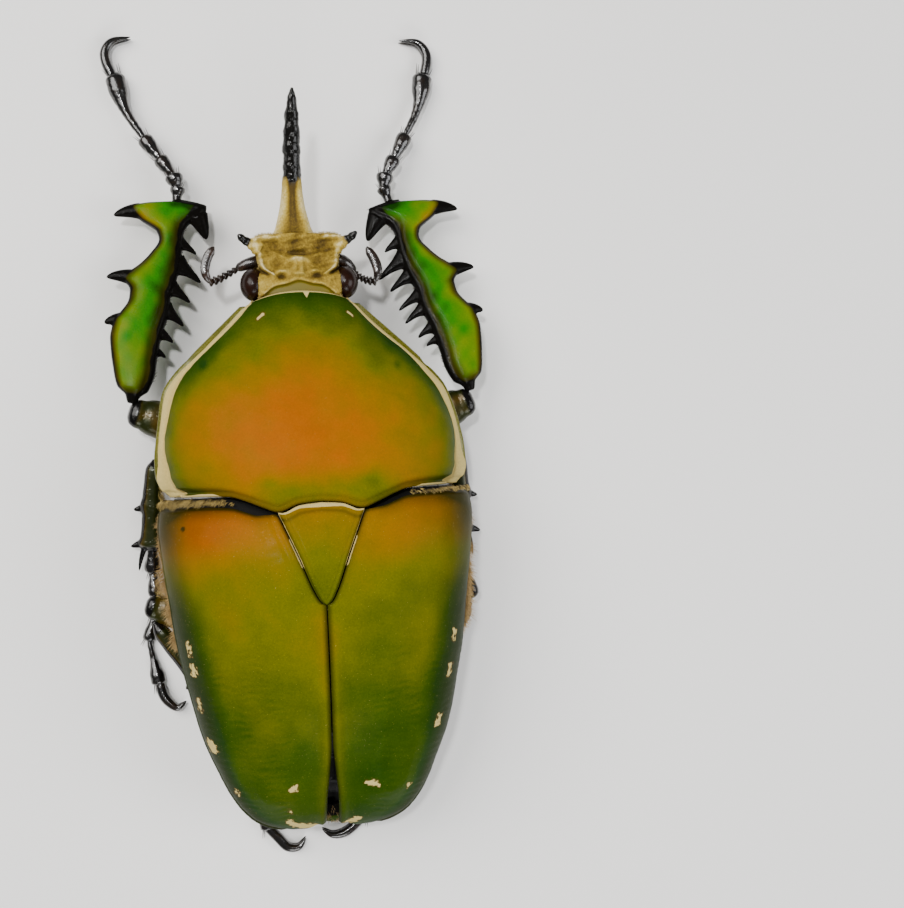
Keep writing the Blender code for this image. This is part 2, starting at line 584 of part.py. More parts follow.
def body_top(y, shift, columns):
    """One row of the body's upper side, just under the wing cases."""
    half_width = elytron_width(y) - SIDE_INSET - 0.5 * shift
    rim = elytron_rim(y) - BODY_SIDE_DROP
    crown = elytron_crown(y - shift) - CROWN_INSET
    row = []
    for angle in spread(-math.pi / 2, math.pi / 2, columns):
        x = half_width * side_share(angle, ELYTRON_FULLNESS)
        row.append((x, y, rim + (crown - rim) * math.cos(angle)))
    return row


def thorax(rows=8, columns=13):
    """The second and third segments, flat where the breast rests on the floor."""
    top = []
    bottom = []
    front = ELYTRON_BASE_Y
    for share in spread(0.0, 1.0, rows):
        level = front + (THORAX_REAR_Y - front) * share
        upper = []
        lower = []
        for x, y, z in body_top(level, 0.0, columns):
            y = level + base_shift(x, front + THORAX_GROOVE, share)
            t = abs(x) / (elytron_width(level) - SIDE_INSET)
            rise = max(t - BREAST_FLAT, 0.0) / (1 - BREAST_FLAT)
            upper.append((x, y, z))
            lower.append((x, y, (elytron_rim(level) - THORAX_SIDE_DROP) * rise ** BREAST_ROUND))
        top.append(upper)
        bottom.append(lower)
    return slab("thorax", top, bottom, "dark_green")


def abdomen(columns=14):
    """The abdomen, with its sternites as steps across the underside."""
    front = THORAX_REAR_Y - GAP
    edges = spread(front, ABDOMEN_REAR_Y, STERNITES)
    levels = []
    for start, end in zip(edges, edges[1:]):
        levels += [(start, STERNITE_STEP), (end + STERNITE_JOINT, 0.0)]
    levels.append((ABDOMEN_REAR_Y, 0.0))
    top = []
    bottom = []
    for level, step in levels:
        apex_share = (level - front) / (ABDOMEN_REAR_Y - front)
        upper = body_top(level, ABDOMEN_TAPER * apex_share, columns)
        keel = abdomen_keel(level) + step
        side_z = elytron_rim(level) - ABDOMEN_SIDE_DROP
        half_width = upper[-1][0]
        top.append(upper)
        bottom.append([(x, y, keel + (side_z - keel) * (abs(x) / half_width) ** ABDOMEN_ROUND)
                       for x, y, z in upper])
    return slab("abdomen", top, bottom, "dark_green")


def pygidium(rows=4, columns=8):
    """The shield that closes the body behind, below the tips of the wing cases."""
    outer = []
    start, end = PYGIDIUM_ARC
    for share in spread(0.0, 1.0, rows):
        half_width = PYGIDIUM_WIDTH * math.sqrt(1 - (PYGIDIUM_TAPER * share) ** 2)
        line = []
        for t in spread(-1.0, 1.0, columns):
            bulge = PYGIDIUM_BULGE * math.sin(math.pi * (start + (end - start) * share)) * (1 - t * t)
            line.append((half_width * t, PYGIDIUM_Y - bulge, PYGIDIUM_TOP - PYGIDIUM_HEIGHT * share))
        outer.append(line)
    inner = [[(x, ABDOMEN_REAR_Y - GAP, z) for x, y, z in line] for line in outer]
    return slab("pygidium", outer, inner, "green")


def head(rows=9, columns=10):
    """The head with its hollow face, and a spike at each front corner."""
    top = []
    bottom = []
    for y in spread(HEAD_WIDTH[0][0], HEAD_WIDTH[-1][0], rows):
        half_width = head_width(y)
        upper = []
        lower = []
        for t in spread(-1.0, 1.0, columns):
            x = HEAD_SHIFT + half_width * t
            ridge = math.exp(-((abs(t) - HEAD_RIM_PLACE) / HEAD_RIM_BREADTH) ** 2)
            ridge -= CHEEK_DROP * max(abs(t) - CHEEK_PLACE, 0.0) / (1 - CHEEK_PLACE)
            upper.append((x, y, head_top(y) + HEAD_RIM_RISE * ridge))
            middle = 0.5 * (head_top(y) + head_bottom(y))
            drop = (middle - head_bottom(y)) * math.sqrt(1 - HEAD_ROUND * t * t)
            lower.append((x, y, middle - drop))
        top.append(upper)
        bottom.append(lower)
    body = slab("head", top, bottom, "ochre")
    spikes = []
    for sign in (-1, 1):
        root = (HEAD_SHIFT + sign * SPIKE_ROOT[0], SPIKE_ROOT[1], SPIKE_ROOT[2])
        tip = (HEAD_SHIFT + sign * SPIKE_TIP[0], SPIKE_TIP[1], SPIKE_TIP[2])
        spikes.append(spine(root, tip, SPIKE_RADIUS))
    apply_boolean(body, "UNION", spikes)
    sockets = [ellipsoid("socket", eye_centre(side), [radius + GAP for radius in EYE_RADII], "eye")
               for side in ("l", "r")]
    apply_boolean(body, "DIFFERENCE", sockets)
    return body


def eye_centre(side):
    sign = 1 if side == "r" else -1
    return (HEAD_SHIFT + sign * EYE_CENTRE[0], EYE_CENTRE[1], EYE_CENTRE[2])


def eye(side):
    return ellipsoid("eye_" + side, eye_centre(side), EYE_RADII, "eye")


def horn():
    centres = [(HORN_X, y, z) for y, z, width, thickness in HORN_PATH]
    sizes = [(width, thickness) for y, z, width, thickness in HORN_PATH]
    return tube("horn", centres, sizes, "black", sides=10)


def mouthparts():
    """The mentum plate under the head, with a pair of palps."""
    centres = [(HEAD_SHIFT, y, z) for y, width, z in MENTUM]
    sizes = [(width, MENTUM_THICKNESS) for y, width, z in MENTUM]
    plate = tube("mouthparts", centres, sizes, "brown", sides=10)
    palps = []
    for sign in (-1, 1):
        line = along([(HEAD_SHIFT + sign * x, y, z) for x, y, z in PALP_PATH], len(PALP_RADII) - 1)
        palps.append(tube("palp", line, [(radius, radius) for radius in PALP_RADII], "brown", sides=6))
    apply_boolean(plate, "UNION", palps)
    return plate


def antenna(side):
    """Scape and beaded funicle in one tube, and the flat club that is joined to it."""
    sizes = SCAPE_SIZES + FUNICLE_SIZES
    line = along(ANTENNAE[side]["scape"], len(sizes) - 1)
    stem = tube("antenna_" + side, line, sizes, "brown", sides=7)
    club_line = along(ANTENNAE[side]["club"], len(CLUB_WIDTHS) - 1)
    club = tube("club", club_line, [(width, CLUB_THICKNESS) for width in CLUB_WIDTHS], "brown", sides=7)
    apply_boolean(stem, "UNION", [club])
    return stem


def coxa(leg, extra=0.0):
    """A leg's short first piece. With extra it is the cutter of its socket."""
    start, end = [Vector(point) for point in LEGS[leg]["coxa"]]
    radius = LEGS[leg]["coxa_radius"] + extra
    ahead = (end - start).normalized()
    centres = [start + ahead * (place - extra) for place, share in COXA_START]
    centres += [end + ahead * (extra - place) for place, share in COXA_END]
    sizes = [(radius * share, radius * share) for place, share in COXA_START + COXA_END]
    return tube("coxa_" + leg, centres, sizes, "dark_green", sides=10)


def femur(leg):
    line = along(LEGS[leg]["femur"], 10)
    width, thickness = LEGS[leg]["femur_size"]
    centres = [point_at(line, share) for share, size in FEMUR_SECTIONS]
    sizes = [(width * size, thickness * size) for share, size in FEMUR_SECTIONS]
    return tube("femur_" + leg, centres, sizes, "dark_green", sides=10)


def straight_blade(name, centres, sizes, ahead, outward, finish, sides=10):
    """A flat closed blade whose sections all lie square to one direction."""
    upward = ahead.cross(outward)
    if upward.z < 0:
        upward = -upward
    points = []
    for centre, (width, thickness) in zip(centres, sizes):
        for k in range(sides):
            turn = 2 * math.pi * (k + 0.5) / sides
            points.append(centre + outward * width * math.cos(turn) + upward * thickness * math.sin(turn))
    faces = []
    for i in range(len(centres) - 1):
        for k in range(sides):
            a = i * sides + k
            b = i * sides + (k + 1) % sides
            faces += [(a, b, b + sides), (a, b + sides, a + sides)]
    last = (len(centres) - 1) * sides
    faces.append(tuple(range(sides)))
    faces.append(tuple(range(last, last + sides)))
    return object_from(name, points, faces, finish)


def fore_tibia(leg):
    """The long flat fore tibia, with three teeth outside and a row of them inside."""
    side = leg[-1]
    sign = 1 if side == "r" else -1
    knee, end = [Vector(point) for point in LEGS[leg]["tibia"]]
    ahead = (end - knee).normalized()
    outward = Vector((sign * abs(ahead.y), -sign * ahead.x, 0.0)).normalized()
    scale = (end - knee).length / FORE_TIBIA[-1][0]

    def place(distance, offset):
        return knee + ahead * distance * scale + outward * offset

    centres = [place(s, (outer + inner) / 2) for s, outer, inner, half in FORE_TIBIA]
    sizes = [((outer - inner) / 2, half) for s, outer, inner, half in FORE_TIBIA]
    body = straight_blade("tibia_" + leg, centres, sizes, ahead, outward, "leg_green")
    teeth = []
    edges = smooth_curve([(s, outer) for s, outer, inner, half in FORE_TIBIA])
    for root_s, tip_s, tip_offset, radius in FORE_OUTER_TEETH:
        teeth.append(spine(place(root_s, edges(root_s) - OUTER_ROOT_DEPTH), place(tip_s, tip_offset), radius))
    edges = smooth_curve([(s, inner) for s, outer, inner, half in FORE_TIBIA])
    for root_s, tip_s, tip_offset, radius in FORE_INNER_TEETH[side]:
        teeth.append(spine(place(root_s, edges(root_s) + INNER_ROOT_DEPTH), place(tip_s, tip_offset), radius))
    apply_boolean(body, "UNION", teeth)
    return body


def walking_tibia(leg):
    """A middle or hind tibia, with outer teeth and two spurs at its end."""
    knee, end = [Vector(point) for point in LEGS[leg]["tibia"]]
    sign = 1 if leg.endswith("r") else -1
    ahead = (end - knee).normalized()
    outward = Vector((sign * abs(ahead.y), -sign * ahead.x * (1 if ahead.y > 0 else -1), 0.0)).normalized()
    centres = [knee.lerp(end, share) for share, width, half in WALKING_TIBIA]
    sizes = [(width, half) for share, width, half in WALKING_TIBIA]
    body = straight_blade("tibia_" + leg, centres, sizes, ahead, outward, "dark_green")
    teeth = []
    for root, root_offset, tip, tip_offset in WALKING_TEETH:
        teeth.append(spine(knee.lerp(end, root) + outward * root_offset,
                           knee.lerp(end, tip) + outward * tip_offset, WALKING_TOOTH_RADIUS))
    for offset, length in SPURS:
        root = knee.lerp(end, SPUR_ROOT) + outward * offset
        tip = end + ahead * length + outward * offset * SPUR_SPREAD
        tip.z = max(tip.z, SPUR_TIP_Z)
        teeth.append(spine(root, tip, SPUR_RADIUS))
    apply_boolean(body, "UNION", teeth)
    return body


def tarsus(leg):
    """Five joints in a row and a pair of hooked claws, one over the other."""
    joints = [Vector(point) for point in LEGS[leg]["tarsus"]]
    radii = LEGS[leg]["toe_radii"]
    centres = []
    sizes = []
    for start, end, radius in zip(joints, joints[1:], radii):
        for share, size in TOE_SECTIONS:
            centres.append(start.lerp(end, share))
            sizes.append((radius * size, radius * size))
    centres.append(joints[-1])
    sizes.append((TOE_TIP_RADIUS, TOE_TIP_RADIUS))
    body = tube("tarsus_" + leg, centres, sizes, "black", sides=8)
    claws = []
    for height, spread_out in CLAW_PAIR:
        line = []
        for i, (x, y) in enumerate(LEGS[leg]["claw"]):
            share = i / (len(LEGS[leg]["claw"]) - 1)
            z = joints[-1].z * (1 - share) + (CLAW_TIP_Z + height) * share
            line.append((x, y + spread_out * share, z))
        line = along(line, len(CLAW_SECTIONS) - 1)
        claws.append(tube("claw", line, CLAW_SECTIONS, "black", sides=6))
    apply_boolean(body, "UNION", claws)
    return body


def build():
    clear_scene()
    pronotum()
    scutellum()
    for side in ("l", "r"):
        elytron(side)
        eye(side)
        antenna(side)
    head()
    horn()
    mouthparts()
    pygidium()
    underside = [prosternum(), thorax(), abdomen()]
    for body in underside:
        apply_boolean(body, "DIFFERENCE", [coxa(leg, GAP) for leg in LEGS])
    for leg in LEGS:
        coxa(leg)
        femur(leg)
        if leg.startswith("fore"):
            fore_tibia(leg)
        else:
            walking_tibia(leg)
        tarsus(leg)


build()
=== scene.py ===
"""The looks of a life-size Ugandan flower beetle: fine shells, legs, hairs and finishes around its solids.

The beetle's head points to +Y, its right side to +X, and the floor is z = 0. Shapes are worked out in
millimetres, on the same named curves as the solids, and MM turns them into metres.
"""

import math

import bmesh
import bpy
import numpy as np
from mathutils import Euler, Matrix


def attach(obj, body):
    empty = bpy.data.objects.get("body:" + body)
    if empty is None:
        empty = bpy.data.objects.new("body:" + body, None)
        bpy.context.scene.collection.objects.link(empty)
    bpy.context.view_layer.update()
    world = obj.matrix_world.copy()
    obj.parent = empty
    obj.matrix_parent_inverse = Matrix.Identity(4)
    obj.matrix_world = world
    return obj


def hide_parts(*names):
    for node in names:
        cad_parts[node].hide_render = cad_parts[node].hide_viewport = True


MM = 0.001
ROOT = "root"

# The photograph's camera: place in millimetres, angles in degrees
CAMERA_PLACE = (-8.374, 5.5, 170.781)
CAMERA_ANGLES = (1.2221, -8.5637, -3.0097)
IMAGE_HEIGHT = 908
FOCAL_PIXELS = 1400
SENSOR = 36.0

# The studio: half floor, surroundings, and lights as (name, place, aim, size, watts, colour)
FLOOR_HALF = 1500.0
WORLD_COLOUR = (0.95, 0.97, 1.0, 1.0)
WORLD_STRENGTH = 0.16
STUDIO_LIGHTS = (("key", (-230, 150, 320), (0, 5, 8), (270, 270), 1.9, (1.0, 0.98, 0.95)),
                 ("fill", (300, -60, 260), (0, 5, 8), (240, 240), 1.0, (0.97, 0.98, 1.0)),
                 ("back", (40, -320, 240), (0, 0, 8), (200, 140), 0.8, (1.0, 1.0, 1.0)),
                 ("glint", (-70, 70, 380), (0, 20, 8), (26, 26), 0.75, (1.0, 1.0, 1.0)))

# Curves along the body, as (y, value) knots
ELYTRON_WIDTH = ((-34.4, 5.2), (-34.0, 7.0), (-32.6, 9.2), (-30.3, 10.9), (-27.0, 12.5), (-23.4, 13.9),
                 (-18.7, 15.1), (-14.0, 16.1), (-9.0, 16.8), (-4.0, 17.4), (1.0, 17.9), (4.2, 17.5))
ELYTRON_CROWN = ((-34.4, 9.1), (-33.0, 11.4), (-31.0, 13.5), (-28.0, 15.8), (-24.0, 18.0), (-18.0, 20.2),
                 (-10.0, 21.4), (-4.0, 21.5), (0.0, 21.0), (4.2, 19.9))
ELYTRON_RIM = ((-34.4, 8.0), (-25.0, 8.6), (-10.0, 9.2), (4.2, 9.8))
PRONOTUM_WIDTH = ((4.6, 16.6), (5.4, 17.4), (7.0, 17.85), (8.7, 17.8), (11.0, 17.45), (14.0, 16.8),
                  (16.0, 16.15), (18.0, 14.75), (20.0, 12.8), (22.0, 10.7), (24.0, 8.55), (26.3, 6.1))
PRONOTUM_SHIFT = ((4.6, 0.0), (8.0, -0.15), (12.0, -0.25), (15.0, -0.5), (18.0, -0.8), (26.3, -0.75))
PRONOTUM_CROWN = ((4.6, 19.6), (8.0, 19.8), (12.0, 19.3), (16.0, 18.2), (20.0, 16.7), (24.0, 14.8),
                  (26.3, 13.5))
PRONOTUM_RIM = ((4.6, 9.7), (12.0, 10.1), (20.0, 10.6), (26.3, 10.8))
PROSTERNUM_KEEL = ((4.6, 2.2), (10.0, 2.3), (16.0, 3.4), (21.0, 5.4), (25.2, 7.6))
ABDOMEN_KEEL = ((-32.0, 6.4), (-29.0, 5.2), (-24.0, 3.2), (-18.0, 1.4), (-13.1, 0.5))
BASE_LINE = ((0.0, 3.4), (2.2, 3.2), (4.6, 2.45), (6.2, 3.0), (8.2, 3.85), (9.8, 4.35), (12.0, 4.5),
             (17.0, 4.6))
SCUTELLUM_WIDTH = ((-7.8, 0.25), (-7.2, 0.75), (-2.2, 2.8), (3.0, 5.0))
SUTURE_GAP = ((-33.6, 0.7), (-30.0, 0.62), (-27.0, 0.38), (-23.0, 0.09), (-8.0, 0.06))
ELYTRON_FULLNESS = 2.6
PRONOTUM_FULLNESS = 2.4
ELYTRON_BASE_Y = 4.15
ELYTRON_APEX_Y = -34.4
PRONOTUM_BASE_Y = 4.6
PRONOTUM_FRONT_Y = 26.3
BASE_GROOVE = 0.3
BASE_OPENING = {"l": 1.0, "r": 0.6}

# Where the cream border of the pronotum lies: its width, and how far its side swells out past it
CREAM_BAND = ((4.6, 1.6), (6.0, 1.75), (8.5, 1.05), (11.0, 0.72), (13.0, 0.85), (15.5, 1.05), (18.0, 0.75),
              (20.0, 0.5), (23.0, 0.62), (26.3, 0.5))
SIDE_OVERHANG = ((4.6, 0.0), (6.0, 0.05), (8.5, 0.5), (12.0, 0.42), (15.0, 0.4), (18.0, 0.5), (22.0, 0.45),
                 (26.3, 0.1))
BASE_LAP = 0.22
RIM_RISE = 0.6
RIM_SWELL = 0.3
FRONT_ARCH = 1.1
FRONT_DROP = 0.45
CREAM_BASE = 0.4
CREAM_FRONT = 0.34
# The two small dimples of the pronotum, as (x, y)
PRONOTUM_DIMPLES = ((-11.1, 18.9), (10.4, 18.0))
# Cream flecks, as (start x, y, end x, y, radius)
PRONOTUM_FLECKS = ((-5.65, 23.7, -5.05, 24.25, 0.2), (4.4, 24.2, 4.95, 23.7, 0.17))
ELYTRON_FLECKS = {
    "l": ((-4.9, -32.9, -3.6, -33.6, 0.42), (-3.6, -33.6, -1.5, -34.1, 0.5),
          (-4.45, -28.2, -4.15, -28.1, 0.42), (-4.75, -31.0, -4.65, -31.3, 0.2),
          (-14.95, -11.6, -14.75, -13.0, 0.2), (-14.6, -14.2, -14.45, -15.2, 0.3),
          (-14.2, -18.0, -14.0, -19.3, 0.2), (-13.2, -22.9, -12.8, -23.9, 0.42),
          (-10.6, -28.6, -10.3, -29.3, 0.2)),
    "r": ((0.9, -33.9, 2.9, -33.1, 0.4), (4.0, -28.15, 4.75, -28.2, 0.38), (14.35, -12.0, 14.2, -13.1, 0.24),
          (13.8, -16.0, 13.6, -17.0, 0.28), (12.3, -21.6, 12.0, -22.4, 0.34),
          (8.6, -28.9, 8.4, -29.3, 0.2)),
}

# Bosses of a wing case, as centre (x, y) and breadths, and its two ribs' share of the way across
SHOULDER_BOSS = (13.2, -0.2, 2.4, 3.0)
TIP_BOSS = (6.4, -29.0, 2.2, 2.0)
ELYTRON_RIBS = (0.3, 0.52)
# A wing case's tone along the body, and by side: how much darker, the shoulder's glow, and how far in from
# the outer edge its greener side and its painted side shade reach
ELYTRON_TONE = ((-34, 0.16), (-30, 0.2), (-20, 0.32), (-14, 0.44), (-8, 0.52), (-4, 0.62), (-1, 0.79),
                (4, 0.88))
ELYTRON_LOOK = {"l": (0.03, 0.22, 4.2), "r": (0.1, 0.05, 5.4)}

HEAD_SHIFT = -0.7
FACE_MIDDLE = HEAD_SHIFT - 0.1
HEAD_REAR_Y = 25.6
HEAD_FRONT_Y = 33.5
HEAD_OUTLINE = ((25.6, 4.8), (26.6, 5.1), (27.6, 5.25), (28.6, 5.15), (29.3, 5.2), (29.8, 5.05), (30.4, 4.7),
                (31.3, 4.8), (32.2, 5.1), (32.75, 5.3), (33.0, 5.15), (33.3, 4.5), (33.5, 3.5))
# How far from the middle line the face's raised side ridge runs
CARINA = ((28.2, 2.3), (28.9, 3.1), (29.6, 4.0), (30.4, 4.3), (31.4, 4.45), (32.6, 4.85), (33.5, 4.9))
HEAD_CROWN = ((25.6, 12.2), (26.8, 12.9), (28.0, 12.9), (30.0, 12.4), (32.0, 12.0), (33.5, 12.0))
HEAD_FLOOR = ((25.6, 6.4), (28.0, 6.6), (30.5, 7.3), (32.5, 8.8), (33.5, 10.6))
SPIKE_PATH = ((4.3, 32.0, 11.4), (5.2, 32.5, 11.8), (5.95, 32.85, 12.1), (6.7, 33.45, 12.6))
SPIKE_RADII = ((0.0, 0.95), (0.3, 0.7), (0.55, 0.5), (0.8, 0.43), (0.93, 0.3), (1.0, 0.08))
HORN_X = -1.1
# Horn: (y, z, half width, half thickness)
HORN_PATH = ((32.2, 10.3, 2.4, 0.6), (33.0, 10.6, 2.9, 1.0), (33.9, 10.9, 2.2, 1.15),
             (35.4, 11.2, 1.72, 1.2), (37.0, 11.7, 1.36, 1.2), (39.4, 12.6, 1.08, 1.1),
             (41.5, 13.4, 0.98, 1.0), (43.4, 14.1, 0.97, 0.95), (45.2, 14.9, 0.86, 0.82),
             (46.8, 15.6, 0.66, 0.66), (48.1, 16.1, 0.42, 0.42), (48.85, 16.45, 0.1, 0.1))
HORN_BLACK_Y = 39.7
EYE_CENTRE = (5.2, 27.95, 10.9)
EYE_RADII = (1.5, 1.85, 1.8)

# Fore tibia: (distance from the knee, outer edge, inner edge, half thickness)
FORE_TIBIA = ((0.0, 1.3, -0.7, 0.9), (0.9, 2.3, -1.3, 1.25), (3.2, 3.2, -1.7, 1.35), (5.0, 3.75, -1.6, 1.4),
              (7.0, 4.15, -1.6, 1.4), (8.6, 4.1, -1.7, 1.4), (9.6, 3.6, -1.85, 1.4),
              (11.6, 2.85, -1.9, 1.35), (12.8, 2.95, -1.8, 1.3), (14.0, 3.9, -2.0, 1.3),
              (15.0, 3.3, -2.1, 1.25), (16.2, 2.3, -2.2, 1.2), (17.6, 1.45, -2.2, 1.2),
              (19.4, 0.75, -2.0, 1.15), (20.5, 1.2, -1.9, 1.15), (21.7, 3.6, -2.1, 1.2),
              (22.9, 4.6, -3.0, 1.2), (23.6, 3.4, -3.7, 1.1), (24.3, 1.0, -4.0, 1.0),
              (24.9, -1.2, -3.9, 0.6))
# Its teeth: (root's distance, tip's distance, tip's offset, root's half width)
FORE_OUTER_TEETH = ((8.9, 8.1, 5.05, 1.1), (14.3, 13.7, 5.8, 1.15), (22.6, 21.4, 6.35, 1.15))
FORE_INNER_TEETH = {
    "l": ((5.7, 5.3, -2.5, 0.5), (8.0, 7.3, -3.0, 0.62), (10.9, 9.5, -3.85, 0.7), (13.8, 12.5, -4.1, 0.7),
          (16.8, 15.2, -4.9, 0.85), (19.5, 18.6, -3.8, 0.58), (23.3, 20.7, -4.6, 1.4)),
    "r": ((6.4, 6.1, -2.9, 0.5), (8.1, 7.4, -3.5, 0.6), (10.7, 9.6, -4.4, 0.62), (12.5, 11.4, -4.6, 0.6),
          (15.2, 14.0, -4.8, 0.7), (17.4, 15.9, -5.6, 0.8), (19.6, 19.0, -3.8, 0.65),
          (23.4, 21.0, -5.3, 1.4)),
}
# Shorter tibiae: (share of the length, half width, half thickness)
WALKING_TIBIA = ((0.0, 0.62, 0.6), (0.05, 0.95, 0.85), (0.15, 1.0, 0.9), (0.4, 1.1, 0.95), (0.5, 1.3, 1.0),
                 (0.56, 1.25, 0.95), (0.62, 1.1, 0.95), (0.85, 1.3, 1.0), (0.95, 1.6, 1.05), (1.0, 1.2, 0.8))
WALKING_TEETH = ((0.48, -0.2, 0.56, 2.3), (0.88, 0.0, 0.98, 2.5))
SPUR_ROOT = 0.93
SPURS = ((-0.6, 1.56), (0.7, 2.73))
SPUR_SPREAD = 2.0
LEGS = {
    "fore_l": {
        "coxa": ((-4.0, 9.3, 3.3), (-7.4, 10.0, 2.9)), "coxa_radius": 2.1,
        "femur": ((-7.6, 10.1, 2.9), (-13.5, 12.1, 4.2), (-20.7, 14.5, 6.1)), "femur_size": (2.4, 1.7),
        "tibia": ((-19.85, 16.15, 6.3), (-14.6, 39.4, 3.5)),
        "tarsus": ((-14.15, 40.0, 3.3), (-14.05, 40.8, 3.2), (-14.5, 42.25, 2.9), (-16.0, 44.5, 2.4),
                   (-17.75, 47.05, 1.9), (-20.9, 54.9, 1.2)),
        "toe_radii": (0.66, 1.0, 0.86, 0.9, 1.1),
        "claw": ((-21.0, 54.4), (-21.75, 56.3), (-21.8, 57.7), (-20.9, 58.85), (-18.8, 59.3)),
        "bow": (-0.55, -0.2),
    },
    "fore_r": {
        "coxa": ((4.0, 9.3, 3.3), (7.4, 10.0, 2.9)), "coxa_radius": 2.1,
        "femur": ((7.6, 10.1, 2.9), (13.1, 11.9, 4.2), (19.5, 14.2, 6.1)), "femur_size": (2.4, 1.7),
        "tibia": ((18.65, 15.95, 6.3), (12.1, 38.8, 3.5)),
        "tarsus": ((10.6, 39.5, 3.3), (10.35, 40.3, 3.2), (10.65, 41.9, 2.9), (11.9, 44.0, 2.4),
                   (13.5, 46.9, 1.9), (16.1, 54.6, 1.2)),
        "toe_radii": (0.66, 1.0, 0.86, 0.9, 1.1),
        "claw": ((16.2, 54.1), (16.7, 56.2), (16.5, 57.5), (15.5, 58.5), (13.4, 58.7)),
        "bow": (0.5, -0.2),
    },
    "mid_l": {
        "coxa": ((-4.2, 3.3, 2.6), (-7.1, 4.4, 2.4)), "coxa_radius": 1.7,
        "femur": ((-7.3, 4.6, 2.4), (-12.3, 6.6, 2.8), (-17.3, 9.4, 3.8)), "femur_size": (1.7, 1.35),
        "tibia": ((-18.2, 8.7, 4.0), (-19.1, -1.6, 2.2)),
        "tarsus": ((-19.1, -1.9, 1.7), (-19.2, -4.4, 1.0), (-19.1, -7.2, 0.8), (-19.4, -9.9, 0.75),
                   (-20.1, -12.4, 0.75), (-19.1, -17.8, 0.8)),
        "toe_radii": (0.76, 0.78, 0.73, 0.73, 0.82),
        "claw": ((-19.1, -17.3), (-18.7, -19.0), (-18.0, -20.0), (-17.1, -20.6), (-16.1, -20.0)),
    },
    "mid_r": {
        "coxa": ((4.2, 3.3, 2.6), (7.1, 4.4, 2.4)), "coxa_radius": 1.7,
        "femur": ((7.3, 4.6, 2.4), (12.0, 6.5, 2.8), (16.5, 9.2, 3.8)), "femur_size": (1.7, 1.35),
        "tibia": ((17.5, 8.5, 4.0), (17.7, -1.9, 2.2)),
        "tarsus": ((17.6, -2.2, 1.7), (17.5, -4.7, 1.0), (17.3, -7.5, 0.8), (16.9, -10.1, 0.75),
                   (16.3, -12.5, 0.75), (14.3, -17.6, 0.8)),
        "toe_radii": (0.76, 0.78, 0.73, 0.73, 0.82),
        "claw": ((14.4, -17.1), (13.9, -18.8), (13.2, -19.7), (12.2, -20.2), (11.2, -19.6)),
    },
    "hind_l": {
        "coxa": ((-3.4, -11.6, 2.2), (-9.0, -11.6, 2.2)), "coxa_radius": 1.7,
        "femur": ((-9.2, -11.5, 2.3), (-14.0, -10.0, 3.1), (-20.0, -8.0, 4.4)), "femur_size": (2.0, 1.4),
        "tibia": ((-19.0, -10.3, 4.4), (-10.2, -22.2, 2.0)),
        "tarsus": ((-9.6, -22.9, 1.6), (-8.3, -25.3, 1.0), (-8.0, -27.9, 0.8), (-7.9, -30.4, 0.75),
                   (-7.7, -32.7, 0.75), (-7.2, -36.0, 0.8)),
        "toe_radii": (0.8, 0.82, 0.77, 0.77, 0.84),
        "claw": ((-7.4, -35.5), (-6.1, -37.0), (-5.0, -38.2), (-3.7, -38.3), (-2.8, -37.3)),
    },
    "hind_r": {
        "coxa": ((3.4, -11.6, 2.2), (9.0, -11.6, 2.2)), "coxa_radius": 1.7,
        "femur": ((9.2, -11.5, 2.3), (13.6, -10.0, 3.1), (19.0, -8.0, 4.4)), "femur_size": (2.0, 1.4),
        "tibia": ((18.0, -10.3, 4.4), (9.0, -22.0, 2.0)),
        "tarsus": ((8.4, -22.7, 1.6), (7.1, -25.1, 1.0), (6.6, -27.7, 0.8), (6.1, -30.1, 0.75),
                   (5.5, -32.4, 0.75), (4.2, -35.6, 0.8)),
        "toe_radii": (0.8, 0.82, 0.77, 0.77, 0.84),
        "claw": ((4.5, -35.1), (3.0, -36.4), (1.8, -37.1), (0.4, -37.2), (-0.8, -36.4)),
    },
}
FEMUR_SECTIONS = ((0.0, 0.5), (0.05, 0.72), (0.15, 0.9), (0.35, 1.0), (0.6, 1.0), (0.8, 0.9), (0.92, 0.74),
                  (0.98, 0.55), (1.0, 0.3))
TOE_SECTIONS = ((0.0, 0.36), (0.08, 0.45), (0.3, 0.66), (0.62, 0.93), (0.8, 1.0), (0.9, 0.94), (0.97, 0.72),
                (1.0, 0.4))
FIRST_TOE_SECTIONS = ((0.0, 0.75), (0.35, 0.78), (0.5, 0.95), (0.7, 1.2), (0.85, 1.25), (0.95, 0.95),
                      (1.0, 0.4))
LAST_TOE_SECTIONS = ((0.0, 0.3), (0.1, 0.36), (0.4, 0.47), (0.6, 0.7), (0.78, 1.0), (0.93, 1.02), (1.0, 0.6))
TOE_LAP = 0.18
BRISTLE_TURNS = (-1.1, -0.7, 0.7, 1.1)
CLAW_TIPS = (0.4, 1.35)
CLAW_SECTIONS = ((0.0, 0.55), (0.15, 0.6), (0.4, 0.58), (0.7, 0.44), (0.9, 0.24), (1.0, 0.05))
ANTENNAE = {
    "l": {"scape": ((-4.9, 30.8, 10.2), (-6.2, 30.5, 10.3), (-7.7, 30.0, 9.9)),
          "funicle": ((-7.6, 30.0, 9.7), (-8.7, 29.45, 9.5), (-9.8, 28.9, 9.4), (-10.9, 28.6, 9.4)),
          "club": ((-10.8, 28.6, 9.4), (-11.25, 29.9, 9.4), (-10.9, 31.4, 9.4), (-10.1, 32.6, 9.4))},
    "r": {"scape": ((3.5, 30.9, 10.2), (4.7, 30.3, 10.2), (5.8, 29.3, 9.5)),
          "funicle": ((5.7, 29.3, 9.2), (6.5, 28.7, 9.1), (7.3, 28.3, 9.2), (8.3, 28.15, 9.4)),
          "club": ((8.2, 28.2, 9.4), (8.5, 29.4, 9.4), (8.1, 30.8, 9.4), (7.3, 32.1, 9.4))},
}
